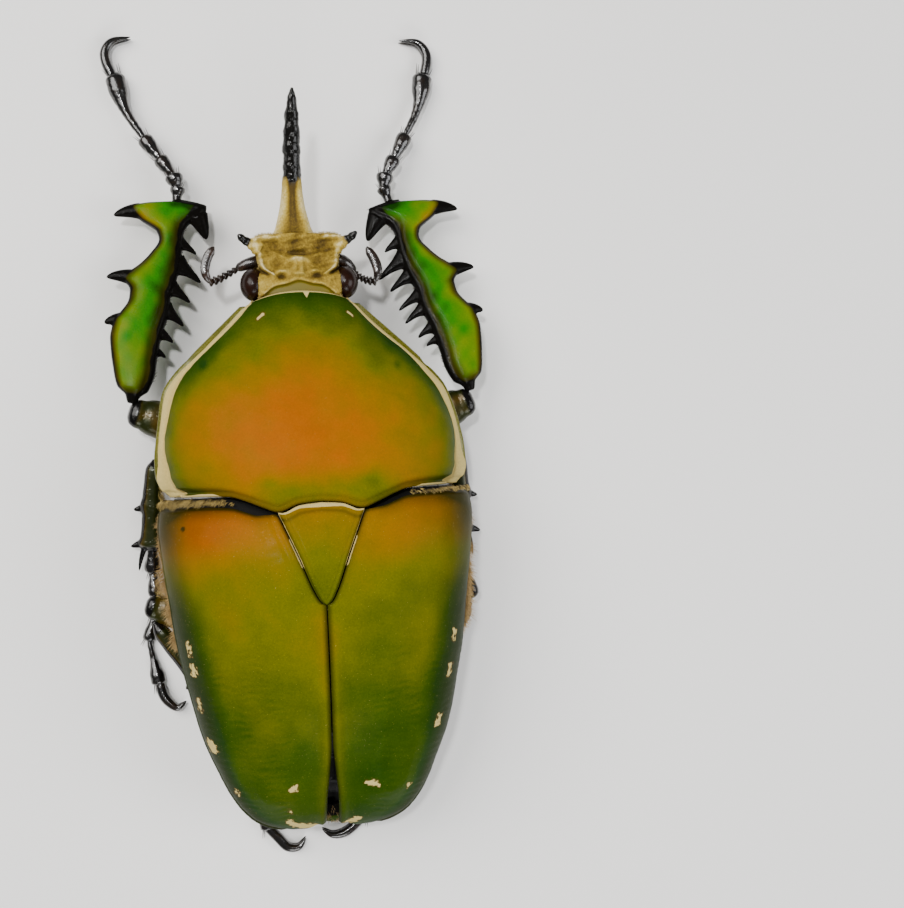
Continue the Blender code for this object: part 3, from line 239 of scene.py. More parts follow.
SCAPE_RADII = ((0, 0.6), (0.3, 0.72), (0.6, 0.66), (0.9, 0.5), (1, 0.25))
BEAD_SECTIONS = ((0, 0.45), (0.3, 0.8), (0.7, 1.0), (0.92, 0.85), (1, 0.4))
LEAF_WIDTH = ((0, 0.2), (0.15, 0.4), (0.5, 0.52), (0.85, 0.44), (1, 0.1))
FEELER_BEADS = 6
# Mouthparts at one side of the middle line, and the plate between them
MENTUM_PATH = ((0, 26.1, 6.2), (0, 27.4, 5.6), (0, 29.0, 5.5), (0, 30.8, 6.4), (0, 31.6, 7.4))
MENTUM_WIDTH = ((0, 2.2), (0.25, 3.0), (0.6, 3.2), (0.9, 2.4), (1, 1.2))
MENTUM_HEIGHT = ((0, 0.56), (0.5, 0.7), (1, 0.35))
LONG_PALP = ((2.2, 28.4, 5.3), (3.4, 29.4, 5.0), (4.0, 30.7, 5.1), (3.0, 32.6, 6.0))
SHORT_PALP = ((1.0, 30.2, 5.6), (1.5, 31.3, 5.4), (1.3, 32.4, 5.9))
COXA_SECTIONS = ((0, 0.3), (0.08, 0.7), (0.3, 1.0), (0.75, 0.97), (0.93, 0.7), (1, 0.3))

# Linear colours
CREAM = (0.6, 0.475, 0.175)
SHIELD_STOPS = ((0.0, (0.007, 0.034, 0.0)), (0.2, (0.028, 0.056, 0.0)), (0.45, (0.1, 0.1, 0.0)),
                (0.72, (0.2, 0.098, 0.0)), (1.0, (0.29, 0.076, 0.0)))
# The colour that the stored dark blends to, for dark parts and for painted shade alike
SHIELD_DARK = (0.012, 0.015, 0.0)
BELLY_STOPS = ((0.0, (0.006, 0.012, 0.003)), (0.5, (0.015, 0.035, 0.004)), (1.0, (0.13, 0.12, 0.003)))
TIBIA_STOPS = ((0.0, (0.003, 0.03, 0.0)), (0.3, (0.013, 0.14, 0.0)), (0.65, (0.095, 0.16, 0.0)),
               (1.0, (0.19, 0.12, 0.001)))
LEG_STOPS = ((0.0, (0.005, 0.012, 0.002)), (0.5, (0.02, 0.024, 0.001)), (1.0, (0.1, 0.052, 0.001)))
HEAD_STOPS = ((0.0, (0.06, 0.034, 0.001)), (0.25, (0.14, 0.085, 0.004)), (0.5, (0.28, 0.185, 0.018)),
              (0.75, (0.41, 0.3, 0.06)), (1.0, (0.62, 0.51, 0.24)))
# BLACK and BELLY_DARK also stand for painted shade on the body's tops under the wing cases
BLACK = (0.004, 0.0035, 0.003)
BELLY_DARK = (0.008, 0.008, 0.005)
TIBIA_DARK = (0.02, 0.009, 0.001)
LEG_DARK = (0.01, 0.007, 0.003)
FOOT_WARM = (0.012, 0.007, 0.004)
FEELER_DARK = (0.008, 0.004, 0.002)
FEELER_WARM = (0.025, 0.01, 0.004)
WORN_BROWN = (0.09, 0.045, 0.012)
NAPE_BROWN = (0.17, 0.1, 0.001)
NAPE_GREEN = (0.1, 0.1, 0.001)
EYE_DARK = (0.004, 0.002, 0.001)
EYE_BROWN = (0.02, 0.006, 0.003)
FLOOR_COLOUR = (0.9, 0.89, 0.87)
TAN_HAIR = (0.5, 0.33, 0.13)
GOLD_HAIR = (0.56, 0.4, 0.12)
DARK_HAIR = (0.09, 0.05, 0.02)
MOTTLE = 0.12
CREAM_ROUGHNESS = 0.85

# Directions
UP = np.array([0.0, 0.0, 1.0])
DOWN = -UP
UP_AND_OUT = np.array([0.3, 0.0, 1.0])
REARWARD = np.array([0.0, -1.0, 0.0])
MIRROR = np.array([-1.0, 1.0, 1.0])

# Small measures: sheets' thicknesses, rolled rims, hairs and clearances
PRONOTUM_SHEET = 0.35
PRONOTUM_LIPS = ((0.02, 0.0, -0.2), (-0.1, 0.0, -0.5), (-0.5, 0.0, -0.7))
PROSTERNUM_SHEET = 0.3
ELYTRON_SHEET = 0.45
ELYTRON_LIPS = ((0.03, 0.0, -0.25), (-0.08, 0.0, -0.6), (-0.4, 0.0, -0.95), (-1.0, 0.0, -1.05))
SCUTELLUM_SHEET = 0.5
SCUTELLUM_GAP = 0.13
PYGIDIUM_SHEET = 0.6
FLOOR_GAP = 0.02
FOOT_GAP = 0.03
LEG_GAP = 0.05
HAIR_SINK = 0.08
HAIR_MIDDLE = 0.75
# A hair's seven corners: how near the tip they are, and where they lie in the tuft's patch of the map
HAIR_REACH = (0.0, 0.0, 0.0, 0.6, 0.6, 0.6, 1.0)
HAIR_UNWRAP = ((0.0, 0.0), (1.0, 0.0), (0.5, 0.6), (0.0, 0.8), (1.0, 0.8), (0.5, 1.0), (0.5, 1.0))
TUFT_PATCH = 0.003
TOOTH_SIDES = 18

# Coats of hair: finish, slot, hairs in a tuft, hair's radius, tuft's radius, lift, stray and seed
COATS = {
    "prosternum": ("gold", "underside_shell", 5, 0.022, 0.16, 0.4, 0.3, 55),
    "breast": ("gold", "underside_shell", 5, 0.022, 0.16, 0.35, 0.3, 65),
    "side": ("tan", "underside_shell", 6, 0.028, 0.24, 0.35, 0.3, 67),
    "abdomen": ("gold", "underside_shell", 4, 0.016, 0.16, 0.3, 0.3, 75),
    "pygidium": ("tan", "wing_case_shell", 4, 0.016, 0.16, 0.4, 0.3, 85),
    "head": ("cream_hair", "head_shell", 4, 0.012, 0.08, 0.5, 0.3, 94),
    "head_rim": ("cream_hair", "head_shell", 4, 0.014, 0.08, 0.15, 0.35, 99),
    "mouth": ("gold", "feelers", 5, 0.02, 0.12, 1.2, 0.3, 98),
    "femur": ("gold", "leg_shell", 4, 0.016, 0.12, 0.7, 0.3, 106),
    "fore_tibia": ("dark_hair", "fore_leg_shell", 4, 0.016, 0.12, 0.5, 0.3, 112),
    "walking_tibia": ("gold", "leg_shell", 4, 0.016, 0.12, 0.6, 0.3, 122),
    "base": ("fringe", "pronotum_shell", 4, 0.04, 0.1, 0.5, 0.4, 142),
}

# How many tufts each coat has
TUFTS = {"prosternum": 1300, "breast": 1500, "side": 2500, "abdomen": 1150, "pygidium": 420, "head": 1500,
         "head_rim": 420, "mouth": 260, "femur": 330, "fore_tibia": 240, "walking_tibia": 210, "base": 800}
# Fused skins: (grain in millimetres, rounds of smoothing)
HEAD_SKIN = (0.08, 2)
FORE_TIBIA_SKIN = (0.1, 4)
WALKING_TIBIA_SKIN = (0.11, 3)

# The body under the wing cases, along the beetle
BODY_INSET = 1.5
BODY_BEND = 0.45
THORAX_REAR = -12.8
ABDOMEN_FRONT = -12.9
ABDOMEN_REAR = -31.7
ABDOMEN_PLATES = 6
ABDOMEN_NARROWING = 0.05
PROSTERNUM_FRONT = 25.6
KNOB_PATH = ((0, 0.5, 1.4), (0, 3.6, 1.5), (0, 5.9, 2.0), (0, 7.1, 2.7))
KNOB_WIDTH = ((0, 2.4), (0.5, 2.2), (0.85, 1.7), (1, 0.25))
KNOB_HEIGHT = ((0, 1.3), (0.6, 1.2), (0.9, 0.8), (1, 0.2))
PYGIDIUM_HALF_WIDTH = 6.0
PYGIDIUM_Y = -32.1
PYGIDIUM_TOP = 9.3
PYGIDIUM_DROP = 4.2
PYGIDIUM_BULGE = 2.1

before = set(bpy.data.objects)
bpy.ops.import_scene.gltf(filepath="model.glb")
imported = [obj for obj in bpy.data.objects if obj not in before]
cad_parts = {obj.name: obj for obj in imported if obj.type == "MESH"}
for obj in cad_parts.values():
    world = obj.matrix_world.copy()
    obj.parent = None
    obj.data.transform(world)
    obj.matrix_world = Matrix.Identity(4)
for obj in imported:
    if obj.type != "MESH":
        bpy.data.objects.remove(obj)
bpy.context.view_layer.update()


def smooth_curve(knots):
    """A smooth function of an array through (position, value) knots that doesn't overshoot them."""
    xs = np.array([knot[0] for knot in knots], float)
    ys = np.array([knot[1] for knot in knots], float)
    steps = np.diff(ys) / np.diff(xs)
    slopes = np.zeros(len(xs))
    slopes[0] = steps[0]
    slopes[-1] = steps[-1]
    for i in range(1, len(xs) - 1):
        if steps[i - 1] * steps[i] > 0:
            slopes[i] = 2 * steps[i - 1] * steps[i] / (steps[i - 1] + steps[i])

    def value(x):
        x = np.clip(x, xs[0], xs[-1])
        i = np.clip(np.searchsorted(xs, x, side="right") - 1, 0, len(xs) - 2)
        width = xs[i + 1] - xs[i]
        t = (x - xs[i]) / width
        return ((1 + 2 * t) * (1 - t) ** 2 * ys[i] + t * (1 - t) ** 2 * width * slopes[i]
                + t * t * (3 - 2 * t) * ys[i + 1] - t * t * (1 - t) * width * slopes[i + 1])

    return value


elytron_width = smooth_curve(ELYTRON_WIDTH)
elytron_crown = smooth_curve(ELYTRON_CROWN)
elytron_rim = smooth_curve(ELYTRON_RIM)
pronotum_width = smooth_curve(PRONOTUM_WIDTH)
pronotum_shift = smooth_curve(PRONOTUM_SHIFT)
pronotum_crown = smooth_curve(PRONOTUM_CROWN)
pronotum_rim = smooth_curve(PRONOTUM_RIM)
prosternum_keel = smooth_curve(PROSTERNUM_KEEL)
abdomen_keel = smooth_curve(ABDOMEN_KEEL)
base_line = smooth_curve(BASE_LINE)
scutellum_width = smooth_curve(SCUTELLUM_WIDTH)
suture_gap = smooth_curve(SUTURE_GAP)
elytron_tone = smooth_curve(ELYTRON_TONE)
cream_band = smooth_curve(CREAM_BAND)
side_overhang = smooth_curve(SIDE_OVERHANG)
head_outline = smooth_curve(HEAD_OUTLINE)
head_crown = smooth_curve(HEAD_CROWN)
carina = smooth_curve(CARINA)
head_floor = smooth_curve(HEAD_FLOOR)


def step(low, high, x):
    """A smooth rise from 0 at low to 1 at high, or a fall where high is below low."""
    t = np.clip((x - low) / (high - low), 0.0, 1.0)
    return t * t * (3 - 2 * t)


def hump(x, centre, breadth):
    """A bell that is 1 at the centre and fades over the breadth."""
    return np.exp(-(((x - centre) / breadth) ** 2))


def ripple(x, y, size, seed, waves=9):
    """A wavy field between about -1 and 1 whose waves are about size long."""
    draw = np.random.default_rng(seed)
    total = np.zeros(np.broadcast(x, y).shape)
    for _ in range(waves):
        angle = draw.uniform(0, 2 * math.pi)
        length = size * draw.uniform(0.6, 1.6)
        total += np.sin(2 * math.pi * (x * math.cos(angle) + y * math.sin(angle)) / length
                        + draw.uniform(0, 2 * math.pi))
    return total / math.sqrt(waves) / 1.4


def unit(vectors):
    """The vectors at length 1."""
    return vectors / np.maximum(np.linalg.norm(vectors, axis=-1, keepdims=True), 1e-12)


def side_share(angle, fullness):
    """How far out a point of an arch lies, from -1 to 1, for an arch fuller than a circle."""
    return np.sign(angle) * np.abs(np.sin(angle)) ** (2 / fullness)


def base_shift(x, base_y, share):
    """How far a row near the base bends to follow the wavy base line."""
    return (base_line(np.abs(x)) - base_y) * (1 - share) ** 3


def capsule(x, y, flecks):
    """How far inside the nearest fleck a point lies."""
    inside = np.full(np.broadcast(x, y).shape, -9.0)
    for x0, y0, x1, y1, radius in flecks:
        run = np.array([x1 - x0, y1 - y0])
        t = np.clip(((x - x0) * run[0] + (y - y0) * run[1]) / (run @ run), 0, 1)
        inside = np.maximum(inside, radius - np.hypot(x - x0 - t * run[0], y - y0 - t * run[1]))
    return inside


def distance_along(grid, axis, far=False):
    """The distance over the surface from the grid's first or last line."""
    lengths = np.linalg.norm(np.diff(grid, axis=axis), axis=2)
    if far:
        lengths = np.flip(lengths, axis)
    total = np.cumsum(lengths, axis=axis)
    start_shape = list(total.shape)
    start_shape[axis] = 1
    total = np.concatenate([np.zeros(start_shape), total], axis=axis)
    return np.flip(total, axis) if far else total


def grid_normals(grid, outward):
    """Unit normals of a grid of points, on the side that outward(grid) points to."""
    normals = unit(np.cross(np.gradient(grid, axis=0), np.gradient(grid, axis=1)))
    if np.sum(normals * outward) < 0:
        normals = -normals
    return normals


def grid_faces(rows, columns, wrap=False, start=0):
    """The four-cornered faces of a grid of points, closed round its columns where wrap is set."""
    index = np.arange(rows * columns).reshape(rows, columns) + start
    if wrap:
        index = np.hstack([index, index[:, :1]])
    return np.stack([index[:-1, :-1], index[1:, :-1], index[1:, 1:], index[:-1, 1:]], -1).reshape(-1, 4)


def shell_shape(grid, normals, thickness):
    """A closed sheet: the grid, the same grid moved inwards, and the border between them."""
    rows, columns = grid.shape[:2]
    lower = rows * columns
    index = np.arange(lower).reshape(rows, columns)
    border = np.concatenate([index[0, :], index[1:, -1], index[-1, -2::-1], index[-2:0:-1, 0]])
    after = np.roll(border, -1)
    points = np.concatenate([grid.reshape(-1, 3), (grid - normals * thickness).reshape(-1, 3)])
    sides = np.stack([border, after, after + lower, border + lower], -1)
    return points, [grid_faces(rows, columns), grid_faces(rows, columns, start=lower), sides]


def tube_shape(rings):
    """A closed tube through rings of points, with a fan over each end."""
    count, sides = rings.shape[:2]
    points = np.concatenate([rings.reshape(-1, 3), rings[:1].mean(1), rings[-1:].mean(1)])
    a = np.arange(sides)
    b = (a + 1) % sides
    last = (count - 1) * sides
    near = np.stack([np.full(sides, count * sides), a, b], -1)
    far = np.stack([np.full(sides, count * sides + 1), last + b, last + a], -1)
    return points, [grid_faces(count, sides, wrap=True), near, far]


def merge_shapes(shapes):
    """One shape made of several."""
    points = []
    faces = []
    start = 0
    for shape_points, shape_faces in shapes:
        points.append(shape_points)
        faces += [part + start for part in shape_faces]
        start += len(shape_points)
    return np.concatenate(points), faces


def turns(sides):
    """Angles round a ring, in order."""
    return np.linspace(0, 2 * math.pi, sides, endpoint=False)


def columns_of(table):
    """A smooth curve for each further column of a table whose first column is the place."""
    return [smooth_curve([(row[0], row[k]) for row in table]) for k in range(1, len(table[0]))]


def profile(knots, count):
    """A smooth curve's values at even places from 0 to 1."""
    return smooth_curve(knots)(np.linspace(0, 1, count))


def window(x, rise_from, rise_to, fall_from, fall_to):
    """1 between the two inner places and 0 beyond the two outer ones."""
    return step(rise_from, rise_to, x) * step(fall_to, fall_from, x)


def dome(x, y, centre_x, centre_y, breadth_x, breadth_y):
    """A bell over a place, with its breadths across and along."""
    return hump(x, centre_x, breadth_x) * hump(y, centre_y, breadth_y)


def both_sides(field):
    """A sheet's numbers, once for its outer and once for its inner points."""
    return np.tile(field.ravel(), 2)


def with_ends(field, first, last):
    """A tube's numbers, with one more for the fan at each end."""
    return np.append(field.ravel(), (first, last))


def vectors(x, y, z):
    """Points or directions from numbers and arrays that fit together."""
    return np.stack(np.broadcast_arrays(x, y, z), -1)


def swelled(rings, path, lift):
    """The rings with each point moved away from the path by the lift."""
    return rings + unit(rings - path[:, None]) * lift[..., None]


def make_piece(name, shape, paint, values=None, turn_out=True):
    """An object from a shape in millimetres, with named numbers stored at its points."""
    points, faces = shape
    mesh = bpy.data.meshes.new(name)
    mesh.vertices.add(len(points))
    mesh.vertices.foreach_set("co", (points * MM).astype(np.float32).ravel())
    corners = np.concatenate([part.ravel() for part in faces]).astype(np.int32)
    counts = np.concatenate([np.full(len(part), part.shape[1]) for part in faces])
    mesh.loops.add(len(corners))
    mesh.loops.foreach_set("vertex_index", corners)
    mesh.polygons.add(len(counts))
    mesh.polygons.foreach_set("loop_start", (np.cumsum(counts) - counts).astype(np.int32))
    mesh.update(calc_edges=True)
    if turn_out:
        body = bmesh.new()
        body.from_mesh(mesh)
        bmesh.ops.recalc_face_normals(body, faces=body.faces)
        body.to_mesh(mesh)
        body.free()
    mesh.shade_smooth()
    for key, numbers in (values or {}).items():
        store(mesh, key, numbers)
    mesh.materials.append(paint)
    piece = bpy.data.objects.new(name, mesh)
    bpy.context.scene.collection.objects.link(piece)
    return piece


def no_marks(values):
    """The stored numbers that a plain piece still needs."""
    return {"tone": 0.3, "dark": 0.0, "cream": -1.0, "black": -1.0, "fleck": -1.0, "dull": 0.0, **values}


def store(mesh, key, numbers):
    """Keeps one number for each point of the mesh, for the paints to read."""
    numbers = np.broadcast_to(np.asarray(numbers, np.float32).ravel(), (len(mesh.vertices),))
    mesh.attributes.new(key, "FLOAT", "POINT").data.foreach_set("value", np.ascontiguousarray(numbers))


def points_of(piece):
    """The piece's points in millimetres."""
    points = np.empty(len(piece.data.vertices) * 3, np.float32)
    piece.data.vertices.foreach_get("co", points)
    return points.reshape(-1, 3).astype(float) / MM


def normals_of(piece):
    """The piece's unit normals, one for each point."""
    normals = np.empty(len(piece.data.vertices) * 3, np.float32)
    piece.data.vertices.foreach_get("normal", normals)
    return normals.reshape(-1, 3).astype(float)


def fuse(name, shapes, paint, voxel, rounds):
    """One skin over all the shapes, with soft fillets where they meet."""
    piece = make_piece(name, merge_shapes(shapes), paint)
    remesh = piece.modifiers.new("skin", "REMESH")
    remesh.mode = "VOXEL"
    remesh.voxel_size = voxel * MM
    smooth = piece.modifiers.new("soften", "SMOOTH")
    smooth.factor = 0.5
    smooth.iterations = rounds
    graph = bpy.context.evaluated_depsgraph_get()
    mesh = bpy.data.meshes.new_from_object(piece.evaluated_get(graph))
    piece.modifiers.clear()
    old = piece.data
    piece.data = mesh
    bpy.data.meshes.remove(old)
    mesh.name = name
    mesh.materials.clear()
    mesh.materials.append(paint)
    mesh.shade_smooth()
    return piece


def flow(points, count):
    """count points on a smooth line through the given ones."""
    points = np.array(points, float)
    padded = np.concatenate([[2 * points[0] - points[1]], points, [2 * points[-1] - points[-2]]])
    place = np.linspace(0, len(points) - 1, count)
    i = np.minimum(place.astype(int), len(points) - 2)
    t = (place - i)[:, None]
    a, b, c, d = padded[i], padded[i + 1], padded[i + 2], padded[i + 3]
    square = (2 * a - 5 * b + 4 * c - d) * t ** 2
    cube = (3 * b - a - 3 * c + d) * t ** 3
    return 0.5 * (2 * b + (c - a) * t + square + cube)


def rings_along(path, widths, heights, sides=20, square=1.0):
    """Rings round a path, level across and upright, with their half widths and half heights."""
    path = np.asarray(path, float)
    ahead = unit(np.gradient(path, axis=0))
    across = unit(np.cross(ahead, UP))
    upward = np.cross(across, ahead)
    turn = turns(sides)
    wide = np.sign(np.cos(turn)) * np.abs(np.cos(turn)) ** square
    high = np.sign(np.sin(turn)) * np.abs(np.sin(turn)) ** square
    rings = (path[:, None] + across[:, None] * (np.asarray(widths)[:, None] * wide)[..., None]
             + upward[:, None] * (np.asarray(heights)[:, None] * high)[..., None])
    rings[..., 2] = np.maximum(rings[..., 2], FLOOR_GAP)
    return rings


class Paint:
    """One material, made node by node."""

    def __init__(self, name, metallic=0.0, specular=0.5, coat=0.0, coat_roughness=0.1, ior=1.5):
        self.material = bpy.data.materials.new(name)
        self.material.use_nodes = True
        self.tree = self.material.node_tree
        self.shader = self.tree.nodes["Principled BSDF"]
        self.shader.inputs["Metallic"].default_value = metallic
        self.shader.inputs["Specular IOR Level"].default_value = specular
        self.shader.inputs["IOR"].default_value = ior
        self.shader.inputs["Coat Weight"].default_value = coat
        self.shader.inputs["Coat Roughness"].default_value = coat_roughness
        self.place = self.tree.nodes.new("ShaderNodeTexCoord").outputs["Object"]

    def put(self, socket, value):
        """Links another node's output to the socket, or sets a plain number or colour."""
        if isinstance(value, bpy.types.NodeSocket):
            self.tree.links.new(value, socket)
        elif socket.type == "RGBA":
            socket.default_value = (*value, 1.0)
        else:
            socket.default_value = value

    def stored(self, key):
        """A number kept at the mesh's points."""
        node = self.tree.nodes.new("ShaderNodeAttribute")
        node.attribute_name = key
        return node.outputs["Fac"]

    def noise(self, size, detail=3.0, stretch=None):
        """Noise between 0 and 1 whose lumps are about size millimetres."""
        node = self.tree.nodes.new("ShaderNodeTexNoise")
        node.inputs["Scale"].default_value = 1 / (size * MM)
        node.inputs["Detail"].default_value = detail
        place = self.place
        if stretch:
            mapping = self.tree.nodes.new("ShaderNodeMapping")
            mapping.inputs["Scale"].default_value = stretch
            self.tree.links.new(place, mapping.inputs["Vector"])
            place = mapping.outputs["Vector"]
        self.tree.links.new(place, node.inputs["Vector"])
        return node.outputs["Fac"]

    def pits(self, size):
        """The distance to the nearest of many scattered points, about size millimetres apart."""
        node = self.tree.nodes.new("ShaderNodeTexVoronoi")
        node.inputs["Scale"].default_value = 1 / (size * MM)
        self.tree.links.new(self.place, node.inputs["Vector"])
        return node.outputs["Distance"]

    def math(self, operation, a, b=0.0):
        """One sum with two numbers or outputs."""
        node = self.tree.nodes.new("ShaderNodeMath")
        node.operation = operation
        self.put(node.inputs[0], a)
        self.put(node.inputs[1], b)
        return node.outputs[0]

    def spread(self, value, amount):
        """Noise turned into a number between -amount and amount."""
        return self.math("MULTIPLY", self.math("SUBTRACT", value, 0.5), 2 * amount)

    def rise(self, value, low, high):
        """A smooth rise from 0 at low to 1 at high."""
        node = self.tree.nodes.new("ShaderNodeMapRange")
        node.interpolation_type = "SMOOTHSTEP"
        self.put(node.inputs["Value"], value)
        node.inputs["From Min"].default_value = low
        node.inputs["From Max"].default_value = high
        return node.outputs["Result"]

    def between(self, factor, low, high):
        """A plain number from low to high as the factor goes from 0 to 1."""
        return self.math("ADD", self.math("MULTIPLY", factor, high - low), low)

    def colours(self, factor, stops):
        """The colour at a place along the stops."""
        node = self.tree.nodes.new("ShaderNodeValToRGB")
        elements = node.color_ramp.elements
        while len(elements) < len(stops):
            elements.new(0.5)
        for element, (place, colour) in zip(elements, stops):
            element.position = place
            element.color = (*colour, 1.0)
        self.put(node.inputs["Fac"], factor)
        return node.outputs["Color"]

    def mix(self, factor, a, b):
        """Colour a where the factor is 0, and b where it is 1."""
        node = self.tree.nodes.new("ShaderNodeMix")
        node.data_type = "RGBA"
        self.put(node.inputs["Factor"], factor)
        for name, value in (("A", a), ("B", b)):
            socket = [s for s in node.inputs if s.name == name and s.type == "RGBA"][0]
            self.put(socket, value)
        return [s for s in node.outputs if s.type == "RGBA"][0]

    def shade(self, colour, factor):
        """The colour made lighter or darker by a factor."""
        node = self.tree.nodes.new("ShaderNodeVectorMath")
        node.operation = "SCALE"
        self.put(node.inputs[0], colour)
        self.put(node.inputs["Scale"], factor)
        return node.outputs[0]

    def finish(self, colour, roughness, bumps):
        """Bumps are (height, depth in millimetres) pairs, the coarsest first."""
        self.put(self.shader.inputs["Base Color"], colour)
        self.put(self.shader.inputs["Roughness"], roughness)
        normal = None
        for height, depth in bumps:
            node = self.tree.nodes.new("ShaderNodeBump")
            node.inputs["Strength"].default_value = 1.0
            node.inputs["Distance"].default_value = depth * MM
            self.put(node.inputs["Height"], height)
            if normal is not None:
                self.tree.links.new(normal, node.inputs["Normal"])
            normal = node.outputs["Normal"]
        if normal is not None:
            self.tree.links.new(normal, self.shader.inputs["Normal"])
            self.tree.links.new(normal, self.shader.inputs["Coat Normal"])
        return self.material


def dimmed(colour, factor):
    """A plain colour made darker or lighter."""
    return [factor * part for part in colour]


def chitin(name, stops, roughness, dark=SHIELD_DARK, pit_depth=0.012, grain=0.006, ragged=0.2, specks=0.0,
           **finish):
    """Shell with stored marks: tone, dark from 0 to 1 (dark colour in some places, painted shade in others),
    and black, cream and flecks in millimetres inside; black and dull also paint shade on hidden tops.
    """
    paint = Paint(name, **finish)
    patches = paint.noise(2.6, 4)
    fine = paint.noise(0.22, 4)
    dust = paint.noise(0.07, 2)
    edge = paint.noise(0.45, 5)
    tone = paint.math("ADD", paint.stored("tone"), paint.spread(patches, 0.07))
    tone = paint.math("ADD", tone, paint.spread(fine, 0.05))
    colour = paint.colours(tone, stops)
    colour = paint.shade(colour, paint.between(patches, 1 - MOTTLE, 1 + MOTTLE))
    colour = paint.shade(colour, paint.between(fine, 0.86, 1.14))
    colour = paint.mix(paint.stored("dark"), colour, dark)
    black = paint.rise(paint.math("ADD", paint.stored("black"), paint.spread(edge, 0.09)), -0.12, 0.1)
    colour = paint.mix(black, colour, BLACK)
    cream = paint.rise(paint.math("ADD", paint.stored("cream"), paint.spread(edge, 0.05)), -0.04, 0.05)
    torn = paint.spread(paint.noise(0.5, 6), ragged)
    fleck = paint.math("ADD", paint.stored("fleck"), torn)
    worn = paint.math("MULTIPLY", paint.rise(fleck, -0.16, 0.02), 0.55)
    colour = paint.mix(worn, colour, WORN_BROWN)
    cream = paint.math("MAXIMUM", cream, paint.rise(fleck, 0.0, 0.12))
    speck = paint.math("MULTIPLY", paint.rise(paint.noise(0.16, 3), 0.66, 0.74), specks)
    colour = paint.mix(speck, colour, CREAM)
    pale = paint.shade(paint.mix(dust, dimmed(CREAM, 0.82), CREAM), paint.between(fine, 0.8, 1.15))
    colour = paint.mix(cream, colour, pale)
    rough = paint.math("ADD", paint.spread(fine, 0.06), roughness)
    rough = paint.math("ADD", rough, paint.math("MULTIPLY", cream, CREAM_ROUGHNESS - roughness))
    rough = paint.math("SUBTRACT", rough, paint.math("MULTIPLY", black, 0.5 * roughness))
    rough = paint.math("ADD", rough, paint.stored("dull"))
    pits = paint.rise(paint.pits(0.42), 0.0, 0.35)
    crust = paint.math("MULTIPLY", paint.noise(0.11, 3), cream)
    bumps = ((pits, pit_depth), (fine, grain), (crust, 0.05), (dust, grain * 0.5))
    return paint.finish(colour, rough, bumps)


def velvet(name):
    """The head's and the horn's short dull coat over shell, with black where stored."""
    paint = Paint(name, specular=0.3)
    patches = paint.noise(1.4, 4)
    nap = paint.noise(0.05, 2, stretch=(1.0, 0.4, 1.0))
    fine = paint.noise(0.2, 4)
    tone = paint.math("ADD", paint.stored("tone"), paint.spread(patches, 0.2))
    tone = paint.math("ADD", tone, paint.spread(fine, 0.3))
    colour = paint.shade(paint.colours(tone, HEAD_STOPS), paint.between(nap, 0.75, 1.25))
    bare = paint.stored("bare")
    colour = paint.mix(bare, colour, paint.mix(patches, NAPE_BROWN, NAPE_GREEN))
    edge = paint.noise(0.5, 5)
    black = paint.rise(paint.math("ADD", paint.stored("black"), paint.spread(edge, 0.35)), -0.2, 0.2)
    colour = paint.mix(black, colour, BLACK)
    shine = paint.math("MAXIMUM", paint.math("MULTIPLY", black, 0.7), paint.math("MULTIPLY", bare, 0.3))
    rough = paint.math("SUBTRACT", 0.8, shine)
    dull = paint.math("SUBTRACT", 1.0, paint.math("MAXIMUM", black, bare))
    lumps = paint.math("MULTIPLY", paint.noise(0.5, 3), black)
    pile = paint.math("MULTIPLY", fine, dull)
    lie = paint.math("MULTIPLY", nap, dull)
    return paint.finish(colour, rough, ((lumps, 0.1), (pile, 0.06), (lie, 0.03)))


def gloss_black(name, colour, warm, roughness):
    """Glossy dark horn of the feet and feelers, uneven and a little brown in places."""
    paint = Paint(name, specular=0.5, coat=0.6, coat_roughness=0.07)
    patches = paint.noise(1.3, 4)
    fine = paint.noise(0.18, 3)
    mixed = paint.mix(paint.rise(patches, 0.45, 0.75), colour, warm)
    rough = paint.between(fine, roughness - 0.06, roughness + 0.1)
    return paint.finish(mixed, rough, ((fine, 0.02), (patches, 0.05)))


def eye_paint():
    """Dark brown, with very fine facets."""
    paint = Paint("compound_eye", specular=0.16, coat=0.07, coat_roughness=0.08)
    facets = paint.pits(0.06)
    colour = paint.mix(paint.noise(0.8, 3), EYE_DARK, EYE_BROWN)
    return paint.finish(colour, 0.25, ((facets, 0.004),))


def hair_paint(name, root, tip, darkest=0.7):
    """Hairs darker at the root, each tuft a little different."""
    paint = Paint(name, specular=0.3)
    colour = paint.mix(paint.stored("reach"), root, tip)
    colour = paint.shade(colour, paint.between(paint.stored("tuft"), darkest, 1.25))
    streaks = paint.noise(0.08, 2)
    return paint.finish(paint.shade(colour, paint.between(streaks, 0.8, 1.2)), 0.62, ((streaks, 0.004),))


def plain_stage_paint():
    """The floor's plain pale finish."""
    paint = Paint("studio_floor", specular=0.2)
    return paint.finish(FLOOR_COLOUR, 0.8, ())


PAINTS = {}


